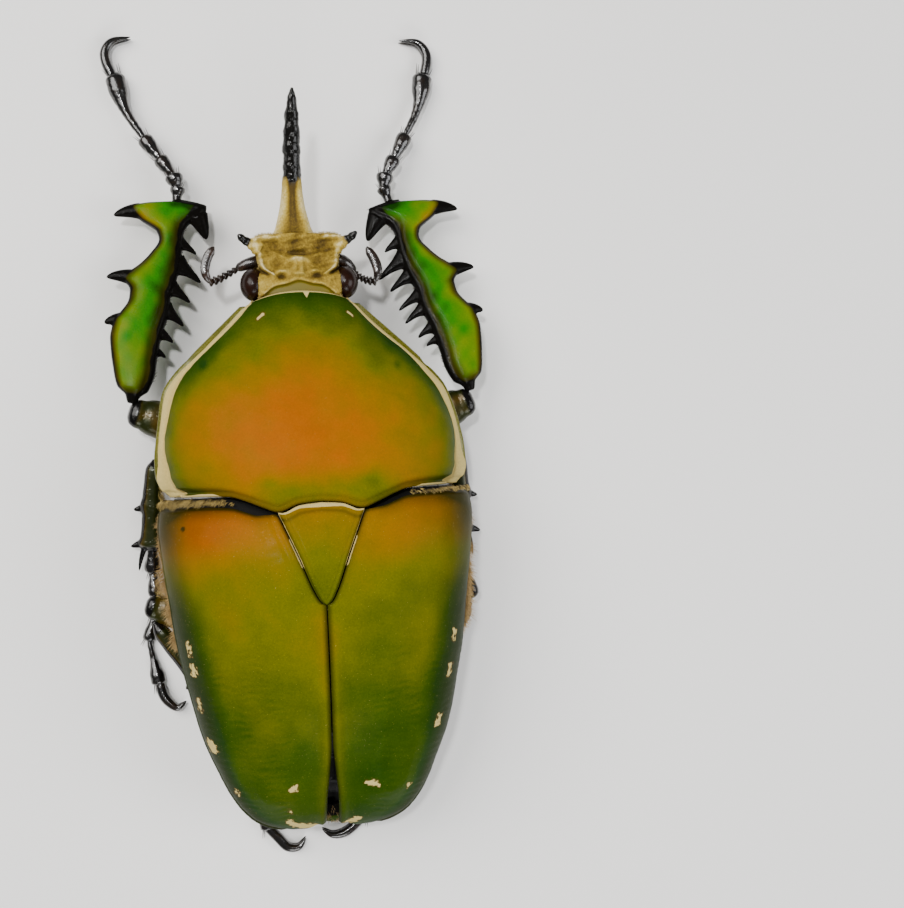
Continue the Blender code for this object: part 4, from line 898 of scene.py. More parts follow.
def make_paints():
    """All finishes, under the names that the pieces ask for."""
    PAINTS["pronotum"] = chitin("pronotum_shell", SHIELD_STOPS, 0.44, pit_depth=0.006, specks=0.08,
                                specular=0.35, ior=1.1)
    PAINTS["wing"] = chitin("wing_case_shell", SHIELD_STOPS, 0.4, pit_depth=0.008, grain=0.009, ragged=0.6,
                            specks=0.2, specular=0.3, ior=1.1, coat=0.01, coat_roughness=0.18)
    PAINTS["belly"] = chitin("underside_shell", BELLY_STOPS, 0.28, dark=BELLY_DARK, pit_depth=0.015,
                             coat=0.12, coat_roughness=0.15, metallic=0.2)
    PAINTS["tibia"] = chitin("fore_leg_shell", TIBIA_STOPS, 0.36, dark=TIBIA_DARK, pit_depth=0.02,
                             grain=0.016, coat=0.05, coat_roughness=0.08, specular=0.2, ior=1.15)
    PAINTS["leg"] = chitin("leg_shell", LEG_STOPS, 0.3, dark=LEG_DARK, pit_depth=0.02,
                           grain=0.012, coat=0.12, coat_roughness=0.12, metallic=0.3, specular=0.3)
    PAINTS["head"] = velvet("head_velvet")
    PAINTS["black"] = gloss_black("feet_black", BLACK, FOOT_WARM, 0.17)
    PAINTS["feeler"] = gloss_black("feeler_brown", FEELER_DARK, FEELER_WARM, 0.25)
    PAINTS["eye"] = eye_paint()
    PAINTS["tan"] = hair_paint("tan_hair", dimmed(TAN_HAIR, 0.45), TAN_HAIR)
    PAINTS["gold"] = hair_paint("golden_hair", dimmed(GOLD_HAIR, 0.25), GOLD_HAIR)
    PAINTS["fringe"] = hair_paint("fringe_hair", dimmed(GOLD_HAIR, 0.12), GOLD_HAIR, 0.2)
    PAINTS["dark_hair"] = hair_paint("dark_hair", dimmed(DARK_HAIR, 0.4), DARK_HAIR)
    PAINTS["cream_hair"] = hair_paint("cream_hair", dimmed(CREAM, 0.6), dimmed(CREAM, 1.1))


def dress(piece, slot, *nodes):
    """The piece rides on the body and stands for the nodes; the slot is not used."""
    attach(piece, ROOT)
    if nodes:
        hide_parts(*nodes)


def tufts(name, coat, roots, normals, lies, lengths, unwrap):
    """Thin bent hairs in tufts, each tuft a small patch of the unwrapped map at its root's place."""
    finish, slot, strands, width, bunch, lift, stray, seed = COATS[coat]
    draw = np.random.default_rng(seed)
    count = len(roots)
    lies = unit(lies - normals * np.sum(lies * normals, axis=1, keepdims=True))
    sideways = np.cross(normals, lies)
    tuft = np.repeat(np.arange(count), strands)
    total = len(tuft)
    normal = normals[tuft]
    angle = draw.uniform(0, 2 * math.pi, total)[:, None]
    radius = bunch * np.sqrt(draw.uniform(0, 1, total))[:, None]
    start = roots[tuft] + (lies[tuft] * np.cos(angle) + sideways[tuft] * np.sin(angle)) * radius
    start -= normal * HAIR_SINK
    lean = lies[tuft] + sideways[tuft] * draw.normal(0, stray, total)[:, None]
    lean = unit(lean + normal * (lift * draw.uniform(0.5, 1.5, total))[:, None])
    length = (np.broadcast_to(lengths, count)[tuft] * draw.uniform(0.65, 1.15, total))[:, None]
    middle = start + lean * length * 0.5 + normal * length * 0.05
    tip = start + lean * length * 0.97 - normal * length * 0.1
    cross_a = unit(np.cross(lean, normal + 0.01))
    cross_b = np.cross(lean, cross_a)
    corners = []
    for centre, size in ((start, width), (middle, width * HAIR_MIDDLE)):
        for turn in turns(3):
            corners.append(centre + (cross_a * math.cos(turn) + cross_b * math.sin(turn)) * size)
    corners.append(tip)
    points = np.stack(corners, axis=1)
    points[..., 2] = np.maximum(points[..., 2], FOOT_GAP)
    pattern = [(2, 1, 0)]
    for k in range(3):
        after = (k + 1) % 3
        pattern += [(k, after, 3 + after), (k, 3 + after, 3 + k), (3 + k, 3 + after, 6)]
    faces = (np.array(pattern)[None] + len(corners) * np.arange(total)[:, None, None]).reshape(-1, 3)
    values = {"reach": np.tile(HAIR_REACH, total),
              "tuft": np.repeat(draw.uniform(0, 1, count), strands * len(corners))}
    piece = make_piece(name, (points.reshape(-1, 3), [faces]), PAINTS[finish], values, turn_out=False)
    place = unwrap[tuft][:, None] + TUFT_PATCH * (np.array(HAIR_UNWRAP) - 0.5)
    layer = piece.data.uv_layers.new(name="OFBake")
    layer.data.foreach_set("uv", place.reshape(-1, 2)[faces.ravel()].astype(np.float32).ravel())
    dress(piece, slot)


def scatter(grid, normals, weight, count, seed):
    """Random places on a grid, more where the weight is high: points, normals and unwrapped places."""
    draw = np.random.default_rng(seed)
    rows, columns = grid.shape[:2]
    across = np.linalg.norm(np.gradient(grid, axis=1), axis=2)
    down = np.linalg.norm(np.gradient(grid, axis=0), axis=2)
    chance = (weight * across * down).ravel()
    chosen = draw.choice(rows * columns, size=count, p=chance / chance.sum())
    i, j = np.divmod(chosen, columns)
    unwrap = np.stack([0.05 + 0.9 * i / rows, 0.05 + 0.9 * j / columns], -1)
    jitter = draw.uniform(-0.5, 0.5, (count, 2))
    points = (grid[i, j] + jitter[:, :1] * np.gradient(grid, axis=0)[i, j]
              + jitter[:, 1:] * np.gradient(grid, axis=1)[i, j])
    return points, normals[i, j], unwrap


def pronotum(rows=165, disc_columns=200, rim_columns=14):
    """The domed shield behind the head, with its raised cream border."""
    share = np.linspace(0, 1, rows)[:, None]
    angle = np.linspace(-math.pi / 2, math.pi / 2, disc_columns)[None]
    level = PRONOTUM_BASE_Y - BASE_LAP + (PRONOTUM_FRONT_Y - PRONOTUM_BASE_Y + BASE_LAP) * share
    outline = pronotum_width(level) - side_overhang(level)
    slant = 1 / np.sqrt(1 + np.gradient(outline[:, 0], level[:, 0])[:, None] ** 2)
    disc = outline - 0.85 * cream_band(level) / slant
    rim = pronotum_rim(level)
    out = np.linspace(0, 1, rim_columns + 1)[None, 1:]
    border_x = disc + (outline - disc) * out
    border_z = rim + RIM_RISE * (1 - out) ** 1.5 + RIM_SWELL * np.sin(math.pi * out)
    disc_z = rim + RIM_RISE + (pronotum_crown(level) - rim - RIM_RISE) * np.cos(angle)
    x = np.concatenate([-border_x[:, ::-1], disc * side_share(angle, PRONOTUM_FULLNESS), border_x], axis=1)
    z = np.concatenate([border_z[:, ::-1], disc_z, border_z], axis=1)
    arch = (FRONT_ARCH * (1 - (x / 6.2) ** 2) - FRONT_DROP) * share ** 8
    y = level + base_shift(x, PRONOTUM_BASE_Y, share) + arch
    shift = pronotum_shift(level)
    grid = vectors(x + shift, y, z)
    side = np.maximum((outline - np.abs(x)) * slant, 0)
    base = distance_along(grid, 0)
    front = distance_along(grid, 0, far=True)
    band = cream_band(y)
    base_edge = CREAM_BASE - base + 0.06 * ripple(x, y, 2.5, 5) - 0.6 * step(11.6, 10.0, np.abs(x))
    notch = 0.48 - 0.4 * front - np.abs(x - 0.65)
    border = np.maximum.reduce([band - side, base_edge, CREAM_FRONT - front, notch])
    normals = grid_normals(grid, UP)
    hem = -0.11 * hump(base, 0.62, 0.2) - 0.1 * hump(front, 0.55, 0.2)
    hem = hem - 0.25 * step(0.4, 0.0, base) - 0.25 * step(0.4, 0.0, front)
    dimples = sum(-0.13 * np.exp(-((x - cx) ** 2 + ((y - cy) * 0.8) ** 2) / 0.2)
                  for cx, cy in PRONOTUM_DIMPLES)
    dimples = dimples - 0.08 * np.exp(-((np.abs(x) - 5.5) ** 2 / 1.6 + (y - 5.4) ** 2 / 0.4))
    swell = 0.06 * ripple(x, y, 9.0, 11) + 0.012 * ripple(x, y, 1.6, 12)
    grid = grid + normals * (hem + dimples + swell)[..., None]
    off_middle = np.hypot((x + 0.6) / 24, np.maximum(y - 12, 0) / 14 + np.maximum(12 - y, 0) / 20)
    tone = 1.04 - 0.95 * off_middle ** 1.5 - 0.22 * step(13, 21, y) * step(5, 13, np.abs(x))
    tone = tone - 0.14 * hump(np.abs(x - 0.5), 6.8, 3.4) * hump(y, 18.5, 3.6)
    tone = tone - 0.1 * step(-1.0, 3.0, x) * hump(y, 13.5, 4.5) + 0.08 * hump(x, -7.5, 4) * hump(y, 9, 3.2)
    tone = tone - 0.3 * hump(y, 4.4, 1.7) * step(9.5, 5.0, np.abs(x - 0.8)) + 1.6 * dimples
    tone = tone + 0.045 * ripple(x, y, 7, 13) + 0.035 * ripple(x, y, 2.6, 14)
    tone = tone - 0.2 * step(2.4, 0.2, side - band) * step(24, 20, y)
    # Darker towards the sides by the cream border, along the hem groove, near the base and near the front
    # edge: painted shade.
    dark = 0.06 * step(5.0, 0.3, side - band) + 0.12 * hump(side, band + 0.08, 0.14)
    dark = dark + 0.12 * hump(base, 0.6, 0.25) + 0.45 * step(1.6, 0.2, base) * step(3.5, 8, np.abs(x))
    dark = dark + 0.2 * step(3.0, 0.0, front)
    lips = np.array(PRONOTUM_LIPS)
    grid = np.concatenate([grid[:, :1] + lips[::-1] * MIRROR, grid, grid[:, -1:] + lips], axis=1)
    normals = grid_normals(grid, UP)
    fields = {"tone": tone, "dark": np.clip(dark, 0, 0.9), "cream": border,
              "fleck": capsule(x + shift, y, PRONOTUM_FLECKS)}
    more = (len(lips), len(lips))
    marks = {key: both_sides(np.pad(field, ((0, 0), more), "edge")) for key, field in fields.items()}
    shape = shell_shape(grid, normals, PRONOTUM_SHEET)
    piece = make_piece("pronotum_shell", shape, PAINTS["pronotum"], no_marks(marks))
    dress(piece, "pronotum_shell", "pronotum")


def inner_edge(y):
    """The wing case's inner edge: along the scutellum, then along the suture."""
    beside = np.where(y > SCUTELLUM_WIDTH[0][0], scutellum_width(y) + SCUTELLUM_GAP, 0.0)
    return np.maximum(suture_gap(y), beside)


def elytron_grid(side, rows, columns):
    """One plain wing case. Its front edge stands back from the pronotum, more so on the left."""
    share = np.linspace(0, 1, rows)[:, None]
    part = np.linspace(0, 1, columns)[None]
    level = ELYTRON_BASE_Y + (ELYTRON_APEX_Y - ELYTRON_BASE_Y) * share
    half_width = elytron_width(level)
    groove_y = ELYTRON_BASE_Y + BASE_GROOVE
    edge = inner_edge(level)
    for _ in range(3):
        edge = inner_edge(level + base_shift(edge, groove_y, share))
    first = np.arcsin(np.minimum(edge / half_width, 0.95) ** (ELYTRON_FULLNESS / 2))
    angle = first + (math.pi / 2 - first) * part
    x = half_width * side_share(angle, ELYTRON_FULLNESS)
    y = level + base_shift(x, groove_y, share)
    y = y + 0.8 * hump(x, 0.6, 1.2) * share ** 20
    y = y - BASE_OPENING[side] * step(4.3, 7.5, x) * (1 - share) ** 12
    z = elytron_rim(y) + (elytron_crown(y) - elytron_rim(y)) * np.cos(angle)
    return vectors(x, y, z)


def elytron(side, rows=240, columns=104):
    """One wing case with its shoulder and tip bosses, suture ridge and side rim."""
    sign = 1 if side == "r" else -1
    grid = elytron_grid(side, rows, columns)
    x, y, z = grid[..., 0], grid[..., 1], grid[..., 2]
    inner = distance_along(grid, 1)
    outer = distance_along(grid, 1, far=True)
    base = distance_along(grid, 0)
    apex = distance_along(grid, 0, far=True)
    normals = grid_normals(grid, UP_AND_OUT)
    lift = 0.5 * dome(x, y, *SHOULDER_BOSS) + 0.55 * dome(x, y, *TIP_BOSS)
    lift += 0.15 * hump(inner, 0.5, 0.38) * step(-7, -12, y)
    lift -= 0.12 * hump(inner, 1.45, 0.5) * step(-9, -16, y)
    lift += (0.07 * hump(inner, 0.35, 0.25) - 0.08 * hump(inner, 0.9, 0.3)) * step(-9, -6, y)
    lift -= 0.09 * hump(outer, 1.25, 0.35) - 0.09 * hump(outer, 0.5, 0.4)
    lift -= (0.2 + 0.3 * step(6, 9, x)) * step(0.7, 0.0, base)
    lift -= 0.25 * step(0.5, 0.0, apex) + 0.12 * step(0.3, 0.0, inner)
    across = np.clip(inner / (inner + outer), 0, 1)
    for place in ELYTRON_RIBS:
        rib = hump(across, place + 0.02 * ripple(y, 0 * y, 22, 3), 0.03)
        lift += 0.05 * rib * window(y, -31, -26, -8, 0)
    lift += 0.045 * ripple(x, y, 8.0, 21 + sign) + 0.012 * ripple(x, y, 1.7, 22 + sign)
    wrinkles = np.sin(2 * math.pi * (y + 0.25 * ripple(x, y, 3.0, 23)) / 0.8)
    wrinkles = wrinkles * step(-6, -18, y) * step(0.1, 0.35, across) * (0.5 + 0.9 * ripple(x, y, 3.0, 24))
    lift += 0.012 * wrinkles
    grid = grid + normals * lift[..., None]
    fall, shoulder, reach = ELYTRON_LOOK[side]
    tone = elytron_tone(y + 1.5 * ripple(x, y, 14, 31 + sign)) - 0.12 * step(0.5, 0.95, across)
    # The tone rises and falls with the wrinkles: painted light and shade on them.
    tone = tone - fall - 0.06 * hump(y, -5, 4) + 0.025 * wrinkles
    tone = tone + shoulder * dome(x, y, 12.5, 0.5, 4.5, 3.6)
    tone = tone + 0.12 * hump(inner, 0.3, 0.9) * step(-6, -14, y) + 0.05 * ripple(x, y, 6, 33 + sign)
    plan = elytron_width(y) - x
    reach = reach * (1 - 0.45 * step(-17, -28, y))
    tone = tone - 0.34 * step(reach + 0.6, 0.28 * reach, plan) * step(-4, -11, y)
    # Darker along the outer side, on the shoulder's outer slope, by the base groove and towards the apex:
    # painted shade. The line along the suture and the spot on the left shoulder are dark in colour.
    dark = step(reach, 0.6, plan) * (0.55 + 0.25 * step(-2, -9, y)) + 0.7 * hump(inner, 0.0, 0.3)
    if side == "l":
        dark = dark + 0.7 * step(0.34, 0.16, np.hypot(x - 14.6, y - 0.9))
    dark = dark + 0.36 * step(7.5, 14.5, x) * step(-4.0, 1.0, y)
    dark = dark + 0.45 * step(2.2, 0.2, base) * step(4, 8, x) + 0.5 * step(0.5, 0.1, base)
    dark = dark + 0.3 * step(-24, -34, y) * step(6.0, 0.5, apex)
    fleck = capsule(sign * x, y, ELYTRON_FLECKS[side])
    cream = 0.12 - inner - 1.2 * step(-3.6, -4.6, y) - 1.2 * step(-0.8, 0.4, y)
    cream = np.maximum(cream, 0.16 - outer - 1.2 * step(-0.5, -2.5, y) - 1.2 * step(2.6, 3.4, y))
    grid = np.concatenate([grid, grid[:, -1:] + np.array(ELYTRON_LIPS)], axis=1)
    normals = grid_normals(grid, UP_AND_OUT)
    marks = {}
    fields = {"tone": tone, "dark": np.clip(dark, 0, 0.93), "cream": cream, "fleck": fleck}
    for key, field in fields.items():
        field = np.pad(field, ((0, 0), (0, len(ELYTRON_LIPS))), "edge")
        if key in ("cream", "fleck"):
            field[:, -len(ELYTRON_LIPS):] -= 1.0
        marks[key] = both_sides(field)
    points, faces = shell_shape(grid, normals, ELYTRON_SHEET)
    points[:, 0] *= sign
    piece = make_piece("wing_case_" + side, (points, faces), PAINTS["wing"], no_marks(marks))
    dress(piece, "wing_case_shell", "elytron_" + side)


def wing_height(x, y):
    """The height of the plain wing case over a place."""
    share = np.minimum(np.abs(x) / elytron_width(y), 1.0)
    rim = elytron_rim(y)
    return rim + (elytron_crown(y) - rim) * np.sqrt(1 - share ** ELYTRON_FULLNESS)


def scutellum(rows=90, columns=84):
    """The small three-cornered shield, with a cream crescent at its base."""
    base_y = SCUTELLUM_WIDTH[-1][0]
    share = np.linspace(0, 1, rows)[:, None]
    t = np.linspace(-1, 1, columns)[None]
    level = base_y + (SCUTELLUM_WIDTH[0][0] - base_y) * share
    y = level + base_shift(t * scutellum_width(level), base_y + BASE_GROOVE, share)
    x = t * scutellum_width(y)
    z = wing_height(x, y)
    grid = vectors(x, y, z)
    side = np.minimum(distance_along(grid, 1), distance_along(grid, 1, far=True))
    base = distance_along(grid, 0)
    z = z + 0.1 * step(0.0, 1.2, side) - 0.28 * step(0.3, 0.0, side) - 0.1 * hump(side, 0.55, 0.2)
    z = z - 0.12 * step(0.4, 0.0, base) + 0.02 * ripple(x, y, 2.5, 41)
    grid = vectors(x, y, z)
    cream = np.maximum(0.52 - 0.08 * np.abs(x) - base, 0.05 - side - 0.5 * step(-3.5, -5.0, y))
    tone = 0.66 - 0.035 * (2.5 - y) + 0.04 * ripple(x, y, 5, 42)
    dark = 0.4 * step(0.5, 0.1, side) + 0.45 * hump(base, 0.85, 0.25)
    marks = no_marks({"tone": both_sides(tone), "dark": both_sides(dark), "cream": both_sides(cream)})
    normals = grid_normals(grid, UP)
    shape = shell_shape(grid, normals, SCUTELLUM_SHEET)
    dress(make_piece("scutellum_shield", shape, PAINTS["wing"], marks), "wing_case_shell", "scutellum")


def prosternum(rows=96, half_columns=62):
    """The first segment's underside: swollen sides, then a hollow down to a blunt keel."""
    share = np.linspace(0, 1, rows)[:, None]
    u = np.linspace(0, 1, half_columns)[None]
    level = PRONOTUM_BASE_Y + (PROSTERNUM_FRONT - PRONOTUM_BASE_Y) * share
    width = pronotum_width(level)
    bulge = side_overhang(level)
    rim = pronotum_rim(level)
    keel = prosternum_keel(level)
    up_side = np.clip((u - 0.6) / 0.4, 0, 1)
    corner_x = 0.93 * width
    low = rim - 2.3
    flat = np.clip(u / 0.6, 0, 1)
    x = corner_x * flat + (width - corner_x) * np.sin(0.75 * math.pi * up_side) ** 0.8
    x = x - (bulge + 0.3) * step(0.75, 1.0, up_side)
    z = np.where(u <= 0.6, keel + (low - keel) * flat ** 1.25, low + (rim - 0.15 - low) * (u - 0.6) / 0.4)
    y = level + base_shift(x, PRONOTUM_BASE_Y, share) * (u > 0.3)
    half = vectors(x, y, z)
    left = half[:, ::-1] * MIRROR
    grid = np.concatenate([left[:, :-1], half], axis=1)
    grid[..., 0] += pronotum_shift(level)
    normals = grid_normals(grid, DOWN)
    gx, gy, gz = grid[..., 0], grid[..., 1], grid[..., 2]
    rough_part = step(rim - 1.6, rim - 2.6, gz)
    lift = rough_part * (0.06 * ripple(gx, gy, 3.0, 51) + 0.025 * ripple(gx + gz, gy, 0.9, 52))
    lift -= 0.3 * hump(np.abs(gx), 11.2 + 0.12 * gy, 0.5) * step(21, 17, gy)
    lift += 0.35 * hump(gx, 0, 1.1) * step(4, 9, gy) * step(24, 16, gy)
    grid = grid + normals * lift[..., None]
    tone = 0.3 + 0.6 * step(rim - 3.4, rim - 1.6, grid[..., 2]) + 0.1 * ripple(gx, gy, 3.5, 53)
    marks = no_marks({"tone": both_sides(tone)})
    shape = shell_shape(grid, normals, PROSTERNUM_SHEET)
    dress(make_piece("prosternum_shell", shape, PAINTS["belly"], marks), "underside_shell", "prosternum")
    weight = step(15.0, 9, np.abs(gx)) * window(gy, 4.6, 6, 22, 25.4) * (gz < rim - 2.6) + 1e-6
    roots, out, unwrap = scatter(grid, normals, weight, TUFTS["prosternum"], 54)
    lies = vectors(0.4 * np.sign(roots[:, 0]), -1.0, 0.0)
    tufts("prosternum_hair", "prosternum", roots, out, lies, 1.15, unwrap)


def body_ring(level, columns):
    """One row of the body's upper side, just under the wing cases."""
    angle = np.linspace(-math.pi / 2, math.pi / 2, columns)[None]
    x = (elytron_width(level) - BODY_INSET) * side_share(angle, ELYTRON_FULLNESS)
    crown = elytron_crown(level) - 1.2
    rim = elytron_rim(level) - 0.3
    return x, rim + (crown - rim) * np.cos(angle)


def thorax(rows=100, columns=108):
    """The second and third segments: grooved breast plate, side plates, and the knob in front."""
    share = np.linspace(0, 1, rows)[:, None]
    level = ELYTRON_BASE_Y + (THORAX_REAR - ELYTRON_BASE_Y) * share
    top_x, top_z = body_ring(level, columns)
    top_z = top_z - 1.5 * (1 - share) ** 14
    top_y = level + base_shift(top_x, ELYTRON_BASE_Y + BODY_BEND, share)
    t = np.linspace(1, -1, columns)[None]
    under_x = (elytron_width(level) - BODY_INSET) * t
    rise = np.maximum(np.abs(t) - 0.25, 0) / 0.75
    side_z = elytron_rim(level) - 1.2
    under_z = side_z * rise ** 1.25
    under_y = level + base_shift(under_x, ELYTRON_BASE_Y + BODY_BEND, share)
    under = vectors(under_x, under_y, under_z)
    normals = grid_normals(under, DOWN)
    x, y = under_x, under_y
    seam = np.abs(x) - (10.4 - 0.12 * (y + 4))
    lift = -0.28 * hump(seam, 0, 0.28) - 0.22 * hump(np.abs(x), 13.4, 0.22)
    lift -= 0.22 * hump(x, 0, 0.25) * step(2.5, 0, y)
    lift += 0.035 * ripple(x, y, 2.2, 61) + 0.02 * ripple(x, y, 0.8, 62)
    lift = np.minimum(lift, under_z)
    under = under + normals * lift[..., None]
    under[..., 2] = np.maximum(under[..., 2], 0.0)
    rings = np.concatenate([vectors(top_x, top_y, top_z), under], axis=1)
    shape = tube_shape(rings)
    points = shape[0]
    tone = 0.35 + 0.2 * ripple(points[:, 0], points[:, 1], 4, 63)
    # The top, under the wing cases, is painted black, dark and dull: painted shade where it shows in the
    # groove behind the pronotum.
    dark = step(8.5, 10.5, points[:, 2])
    knob = rings_along(flow(KNOB_PATH, 40), profile(KNOB_WIDTH, 40), profile(KNOB_HEIGHT, 40), 36)
    points, faces = merge_shapes([shape, tube_shape(knob)])
    extra = len(points) - len(tone)
    dark = np.concatenate([dark, np.zeros(extra)])
    marks = no_marks({"tone": np.concatenate([tone, np.full(extra, 0.45)]), "black": dark - 0.5,
                      "dark": dark, "dull": 0.8 * dark})
    piece = make_piece("thorax_shell", (points, faces), PAINTS["belly"], marks)
    dress(piece, "underside_shell", "thorax")
    weight = step(5.5, 9, np.abs(x)) + 0.05
    roots, out, unwrap = scatter(under, normals, weight, TUFTS["breast"], 64)
    lies = vectors(0.5 * np.sign(roots[:, 0]), -1.0, 0.0)
    tufts("breast_hair", "breast", roots, out, lies, 1.3, unwrap)
    side_pile(under, normals)


def side_pile(under, normals):
    """The thick tan coat on the side below the wing case's edge."""
    x, y = under[..., 0], under[..., 1]
    weight = step(14.0, 14.8, np.abs(x)) * step(3.5, 1.0, y) + 1e-6
    roots, out, unwrap = scatter(under, normals, weight, TUFTS["side"], 66)
    side = np.sign(roots[:, 0])
    roots = roots + vectors(0.85 * side, 0.0, 0.3)
    lies = vectors(0.9 * side, -0.75, 0.25)
    x, y = roots[:, 0], roots[:, 1]
    reach = (1.1 + 0.9 * step(-1.0, -4.0, y)) * (1 + 0.35 * ripple(x, y, 1.8, 68))
    reach = np.clip(reach, 0.5, 2.6) * (1 - 0.5 * step(-11.0, -12.8, y))
    tufts("side_hair", "side", roots, out, lies, reach, unwrap)


def abdomen(rows=190, columns=96):
    """The abdomen, with stepped plates below and rings above."""
    share = np.linspace(0, 1, rows)[:, None]
    level = ABDOMEN_FRONT + (ABDOMEN_REAR - ABDOMEN_FRONT) * share
    plate = (share * ABDOMEN_PLATES) % 1.0
    edge_step = 0.34 * (1 - step(0.86, 1.0, plate)) * step(0.0, 0.12, plate)
    top_x, top_z = body_ring(level, columns)
    top_x = top_x * (1 - ABDOMEN_NARROWING * share)
    side_z = elytron_rim(level) - 0.8
    top_z = np.maximum(top_z - 1.4 * share - 0.3 * edge_step, side_z)
    top_z = top_z - 2.2 * hump(top_x, 0, 1.8) * step(-20, -26, level)
    t = np.linspace(1, -1, columns)[None]
    half_width = (elytron_width(level) - BODY_INSET) * (1 - ABDOMEN_NARROWING * share)
    under_x = half_width * t
    keel = abdomen_keel(level)
    under_z = keel + (side_z - keel) * np.abs(t) ** 1.7
    under_y = level + 0.8 * t * t * (1 - share) * step(0.0, 0.1, share)
    under = vectors(under_x, under_y, under_z)
    normals = grid_normals(under, DOWN)
    lift = edge_step + 0.02 * ripple(under_x, under_y, 0.9, 71) + 0.04 * ripple(under_x, under_y, 3.0, 72)
    lift = lift - 0.22 * hump(np.abs(t), 0.86, 0.03) * hump(plate, 0.45, 0.16)
    under = under + normals * lift[..., None]
    under[..., 2] = np.maximum(under[..., 2], LEG_GAP)
    rings = np.concatenate([vectors(top_x, level, top_z), under], axis=1)
    plain = 0 * top_x
    spot = 0.55 - np.hypot((np.abs(t) - 0.8) * half_width / 1.5, (plate - 0.45) * 3.2 / 1.5)
    tone = np.concatenate([plain, 0.3 + 0.25 * ripple(under_x, under_y, 5, 73)], axis=1)
    # The top, under the wing cases, is painted dark, black and dull: painted shade where it shows between
    # the wing cases' tips. The dark lines below are the plates' joins.
    dark = np.concatenate([plain + 1.0, plain + 0.5 * hump(plate, 0.0, 0.07)], axis=1)
    cream = np.concatenate([plain - 1.0, spot], axis=1)
    roof_painted_shade = np.concatenate([plain + 1.0, plain], axis=1)
    marks = no_marks({"tone": with_ends(tone, 0.2, 0.2), "dark": with_ends(dark, 0.5, 0.5),
                      "black": with_ends(roof_painted_shade - 0.5, -1.0, -1.0), "dull": with_ends(0.8 * roof_painted_shade, 0.0, 0.0),
                      "fleck": with_ends(cream, -1.0, -1.0)})
    piece = make_piece("abdomen_shell", tube_shape(rings), PAINTS["belly"], marks)
    dress(piece, "underside_shell", "abdomen")
    weight = step(0.55, 0.95, np.abs(t)) * (0.15 + hump(plate, 0.75, 0.15)) + 0.02
    roots, out, unwrap = scatter(under, normals, weight, TUFTS["abdomen"], 74)
    lies = vectors(0.3 * np.sign(roots[:, 0]), -1.0, 0.0)
    tufts("abdomen_hair", "abdomen", roots, out, lies, 0.9, unwrap)


def pygidium(rows=70, columns=92):
    """The shield that closes the body behind, below the wing cases' tips."""
    share = np.linspace(0, 1, rows)[:, None]
    t = np.linspace(-1, 1, columns)[None]
    x = PYGIDIUM_HALF_WIDTH * np.sqrt(1 - (0.9 * share) ** 2) * t
    z = PYGIDIUM_TOP - PYGIDIUM_DROP * share + 0 * x
    bulge = PYGIDIUM_BULGE * np.sin(math.pi * (0.02 + 0.83 * share)) * (1 - t * t)
    y = PYGIDIUM_Y + 0.6 * (1 - share) ** 6 - bulge - 0.1 * ripple(x, 4 * share, 3.0, 81)
    grid = vectors(x, y, z)
    normals = grid_normals(grid, REARWARD)
    grid = grid + normals * (0.03 * ripple(x, z, 1.0, 82))[..., None]
    cream = 0.85 - np.hypot((np.abs(x) - 3.6) / 1.2, (z - 7.6) / 0.9)
    tone = 0.15 + 0.1 * ripple(x, z, 3, 83)
    # The upper part, under the wing cases' tips, is painted black and dull: painted shade.
    under_wing_shade = both_sides(step(0.3, 0.12, share) + 0 * x)
    marks = no_marks({"tone": both_sides(tone), "dark": 0.25, "fleck": both_sides(cream),
                      "black": under_wing_shade - 0.5, "dull": 0.6 * under_wing_shade})
    piece = make_piece("pygidium_shield", shell_shape(grid, normals, PYGIDIUM_SHEET), PAINTS["wing"], marks)
    dress(piece, "wing_case_shell", "pygidium")
    weight = 0.15 + step(0.7, 1.0, share)
    roots, out, unwrap = scatter(grid, normals, weight, TUFTS["pygidium"], 84)
    lies = vectors(0.2 * np.sign(roots[:, 0]), -0.4, -1.0)
    tufts("pygidium_hair", "pygidium", roots, out, lies, 0.9, unwrap)


